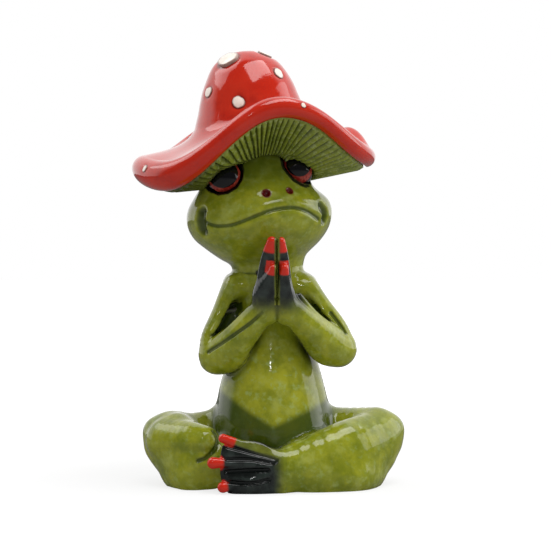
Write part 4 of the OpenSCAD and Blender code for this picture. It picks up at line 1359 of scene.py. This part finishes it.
ANKLE_X = 4
LEG_LOW, LEG_HIGH = -2, 37
TOES = [  # tip, root, radius at the tip, how far the red reaches
    (seen(223, 438.5, -26.8), seen(276, 455.5, -25), 1.55, 6.2),
    (seen(213, 463, -28.4), seen(277, 463, -26), 2.0, 5.6),
    (seen(223, 487.2, -28.8), seen(280, 476, -25), 1.9, 3.6),
]
FOOT_GROOVES = [  # in the front view, in pixels
    [(227, 446.5), (250, 452.5), (273, 458.6), (276.5, 460.8), (272, 463.2), (250, 459.6), (227, 459.6)],
    [(226, 472), (250, 470.5), (268, 470)], [(226, 481.5), (250, 483.5), (268, 480)],
]
WEB_RIDGE = [seen(238, 440.5, -28), seen(254, 447, -28), seen(276, 455, -27)]
CALF_GROOVE = [(213, 431), (217, 437), (217, 444), (213, 451.5), (205, 458.5), (198, 461)]


def foot_clay(p):
    """The left foot on its side: the webbed sole, and three toes with round tips."""
    form = limb(p, [[6, -23.7, 7.2, 5.5, 7.2], [-1.4, -25.5, 7.6, 4, 7.4], [-7.3, -26.4, 9.7, 2.4, 7.8],
                    [-13, -27.1, 9.9, 1.4, 7.3], [-16.8, -27.4, 10, 1.0, 6.2]])
    sole = limb(p, [[-12, -25.2, 3.0, 4.6, 4.4], [-6, -25.2, 3.4, 5, 4.8], [2, -23.5, 3.6, 5.5, 5]])
    form = melt(form, sole, 1.2)
    for tip, root, r, _ in TOES:
        form = melt(form, limb(p, [[*root, 2.2, 2.2], [*between(root, tip, 0.5), 1.7, 1.7],
                                   [*between(root, tip, 0.8), 1.5, 1.5], [*tip, r, r]]), 0.5)
    return form


foot_block = Block((-26, -34, -2), (10, -12, 28), foot_clay, 0.7)
foot_lines = [[on_skin(*q, foot_block) for q in line] for line in FOOT_GROOVES]
calf_block = Block((-40, -30, -2), (-8, 4, 28), lambda p: leg_form(p, -1), 0.8)
calf_line = [on_skin(*q, calf_block) for q in CALF_GROOVE]


def foot_form(p):
    """The foot with the grooves between its tendons."""
    return press(foot_clay(p), p, foot_lines, 0.65, 0.45)


def left_leg_form(p):
    """The left leg and its foot."""
    return melt(leg_form(p, 1), foot_form(p), 1.2)


def right_leg_form(p):
    """The right leg with the crease round the end of its calf."""
    return press(leg_form(p, -1), p, [calf_line], 0.6, 0.6)


def right_leg_casting(p):
    """The right leg, filled to the torso and carved clear of the foot."""
    return carve(shared(right_leg_form(p), trunk(p), LEG_FILLET), foot_form(p) - 0.1, 0.4)


def left_leg_casting(p):
    """The left leg and foot, filled to the torso."""
    return shared(left_leg_form(p), trunk(p), LEG_FILLET)


def thigh_shade(at):
    """The lap's painted shade on a leg, which ends a little way from the torso."""
    return lap_shade(at) * (1 - bump(trunk(at.T), 0.3, 2.2))


def red_toes(at):
    """The blush on the toes' ends, which reaches further along their middles."""
    tips = np.zeros(len(at))
    for tip, root, r, reach in TOES:
        tip, root = np.array(tip), np.array(root)
        way = (root - tip) / np.linalg.norm(root - tip)
        along = (at - tip) @ way
        off = np.linalg.norm(at - tip - np.maximum(along, 0)[:, None] * way, axis=1)
        inside = 1 - bump(along + 0.8 * np.maximum(off - r, -1), reach - r - 1.0, reach - r)
        tips = np.maximum(tips, inside * (1 - bump(off, r + 0.35, r + 0.8)))
    return tips


right_leg = cast("right_leg_casting", (-48, -32, LEG_LOW), (4, 22, LEG_HIGH), right_leg_casting, BODY_GRAIN,
                 [FLOOR_CUT], lambda p: np.minimum(trunk(p), left_leg_form(p)))
at = corners(right_leg)
# Painted shade along the crease round the calf's end, and in the lap.
calf_wash = 0.7 * shade_along(at, CALF_GROOVE, 1.0, 3.5) * (at[:, 1] < -8)
finish_casting(right_leg, "right_leg", "green_glaze", wash=np.maximum(calf_wash, thigh_shade(at)))

ankle_plane = (ANKLE_X, 0, 0)
left_leg = cast("left_leg_casting", (2, -34, LEG_LOW), (49, 22, LEG_HIGH), left_leg_casting, BODY_GRAIN,
                [FLOOR_CUT, (ankle_plane, (-1, 0, 0))], lambda p: np.minimum(trunk(p), leg_form(p, -1)))
at = corners(left_leg)
# Painted shade of the lap on the thigh.
finish_casting(left_leg, "left_leg", "green_glaze", slate=1 - bump(at[:, 0], 1, 5), wash=thigh_shade(at))

foot = cast("left_foot_casting", (-26, -34, LEG_LOW), (6, -8, 26), left_leg_casting, FINE_GRAIN,
            [FLOOR_CUT, (ankle_plane, (1, 0, 0))], lambda p: np.minimum(trunk(p), leg_form(p, -1)))
at = corners(foot)
# The slate thins along the web's ridge, so a pale green line shows there: partly the ridge's paint, partly a
# painted highlight.
ridge = np.linalg.norm(at[:, None] - smooth(WEB_RIDGE, 6)[None], axis=2).min(1)
finish_casting(foot, "left_foot", "slate_glaze", tip=red_toes(at),
               slate=(1 - bump(at[:, 0], -0.5, 4.5)) * (0.35 + 0.65 * bump(ridge, 1.2, 2.4)))

# ---- Pins
# Cut lengths of steel wire in the neck, crown, shoulders, wrists, hips and ankle. They are glued into
# drilled holes, and nothing shows of them once the castings are joined.


def pin_steel():
    steel = Glaze("pin_steel", (0.42, 0.42, 0.43))
    steel.layer(steel.clouds(0.6, 3.0).rise(0.45, 0.7) * 0.5, (0.3, 0.3, 0.31))
    return steel.fire(0.34, 0.01, 0.3, 0.0, 1.0)


STEEL = pin_steel()
for name in ("neck_pin", "crown_pin", "shoulder_pins", "wrist_pins", "hip_pins", "ankle_pin"):
    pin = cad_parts[name]
    pin.data.materials.clear()
    pin.data.materials.append(STEEL)

# ---- Studio
# A white floor and backdrop, four soft boxes and a small sparkle, and the camera at the
# photograph's place.


def studio_floor():
    """White to the camera, a little darker round the figure, and a soft glow on its underside."""
    material = bpy.data.materials.new("studio_floor")
    material.use_nodes = True
    bench = Bench(material.node_tree)
    bench.tree.nodes.clear()
    to_camera = bench.node("ShaderNodeLightPath", out="Is Camera Ray")
    bounced = bench.node("ShaderNodeLightPath", out="Is Diffuse Ray")
    matt = bench.node("ShaderNodeBsdfDiffuse", {"Color": (0.22, 0.22, 0.22, 1)})
    place = bench.node("ShaderNodeTexCoord", out="Object")
    far = bench.node("ShaderNodeVectorMath", {0: place}, out="Value", operation="LENGTH")
    glow = bench.node("ShaderNodeEmission", {
        "Color": (1, 1, 1, 1), "Strength": to_camera * (far.rise(0.05, 0.4) * 0.35 + 0.75) + bounced * 0.34})
    both = bench.node("ShaderNodeAddShader", {0: matt, 1: glow})
    bench.node("ShaderNodeOutputMaterial", {"Surface": both})
    return material


mesh = bpy.data.meshes.new("studio_floor")
mesh.from_pydata([(-4, -4, 0), (4, -4, 0), (4, 4, 0), (-4, 4, 0)], [], [(0, 1, 2, 3)])
mesh.materials.append(studio_floor())
floor = stand("studio_floor", mesh)

world = bpy.data.worlds.new("studio")
bpy.context.scene.world = world
world.use_nodes = True
bench = Bench(world.node_tree)
bench.tree.nodes.clear()
way = bench.node("ShaderNodeTexCoord", out="Generated")
behind = bench.node("ShaderNodeSeparateXYZ", {0: way}, out="Y").rise(-0.12, 0.2)
to_camera = bench.node("ShaderNodeLightPath", out="Is Camera Ray")
shine = bench.node("ShaderNodeLightPath", out="Is Glossy Ray")
strength = to_camera + shine * (1 - to_camera) * (behind + 0.1) + (1 - to_camera) * (1 - shine) * 0.7
backdrop = bench.node("ShaderNodeBackground", {"Color": (1, 1, 1, 1), "Strength": strength})
bench.node("ShaderNodeOutputWorld", {"Surface": backdrop})


def soft_box(name, place, size, radiance, shine=True):
    """A lamp with a flat face that looks at the figure. shine says whether glazes reflect it."""
    light = bpy.data.lights.new(name, "AREA")
    light.shape = "RECTANGLE"
    light.size, light.size_y = size
    light.energy = radiance * math.pi * size[0] * size[1]
    lamp = stand(name, light)
    lamp.location = place
    lamp.visible_glossy = shine
    way = Vector((0, 0, CAMERA_Z * MM)) - Vector(place)
    lamp.rotation_euler = way.to_track_quat("-Z", "Y").to_euler()


soft_box("upper_right_box", (0.23, -0.19, 0.93), (0.78, 0.40), 4.1)
soft_box("right_box", (0.80, 0.06, 0.40), (0.6, 0.6), 1.6)
soft_box("right_fill", (0.62, -0.36, 0.42), (0.5, 0.5), 1.3, shine=False)
soft_box("top_box", (-0.50, 0.10, 0.70), (0.56, 0.5), 1.8)
soft_box("sparkle", (-0.06, -0.6, 0.42), (0.012, 0.012), 160)

camera = bpy.data.cameras.new("camera")
camera.sensor_width = 36
camera.lens = camera.sensor_width * CAMERA_AWAY / (PITCH * PHOTO_PX)
camera.shift_x = (PHOTO_PX / 2 - MIDDLE_PX[0]) / PHOTO_PX
camera.shift_y = (MIDDLE_PX[1] - PHOTO_PX / 2) / PHOTO_PX
camera.clip_start, camera.clip_end = 0.01, 20
viewpoint = stand("camera", camera)
viewpoint.location = (0, -CAMERA_AWAY * MM, CAMERA_Z * MM)
viewpoint.rotation_euler = (math.radians(90), 0, 0)
bpy.context.scene.camera = viewpoint
bpy.context.scene.view_settings.view_transform = "Standard"
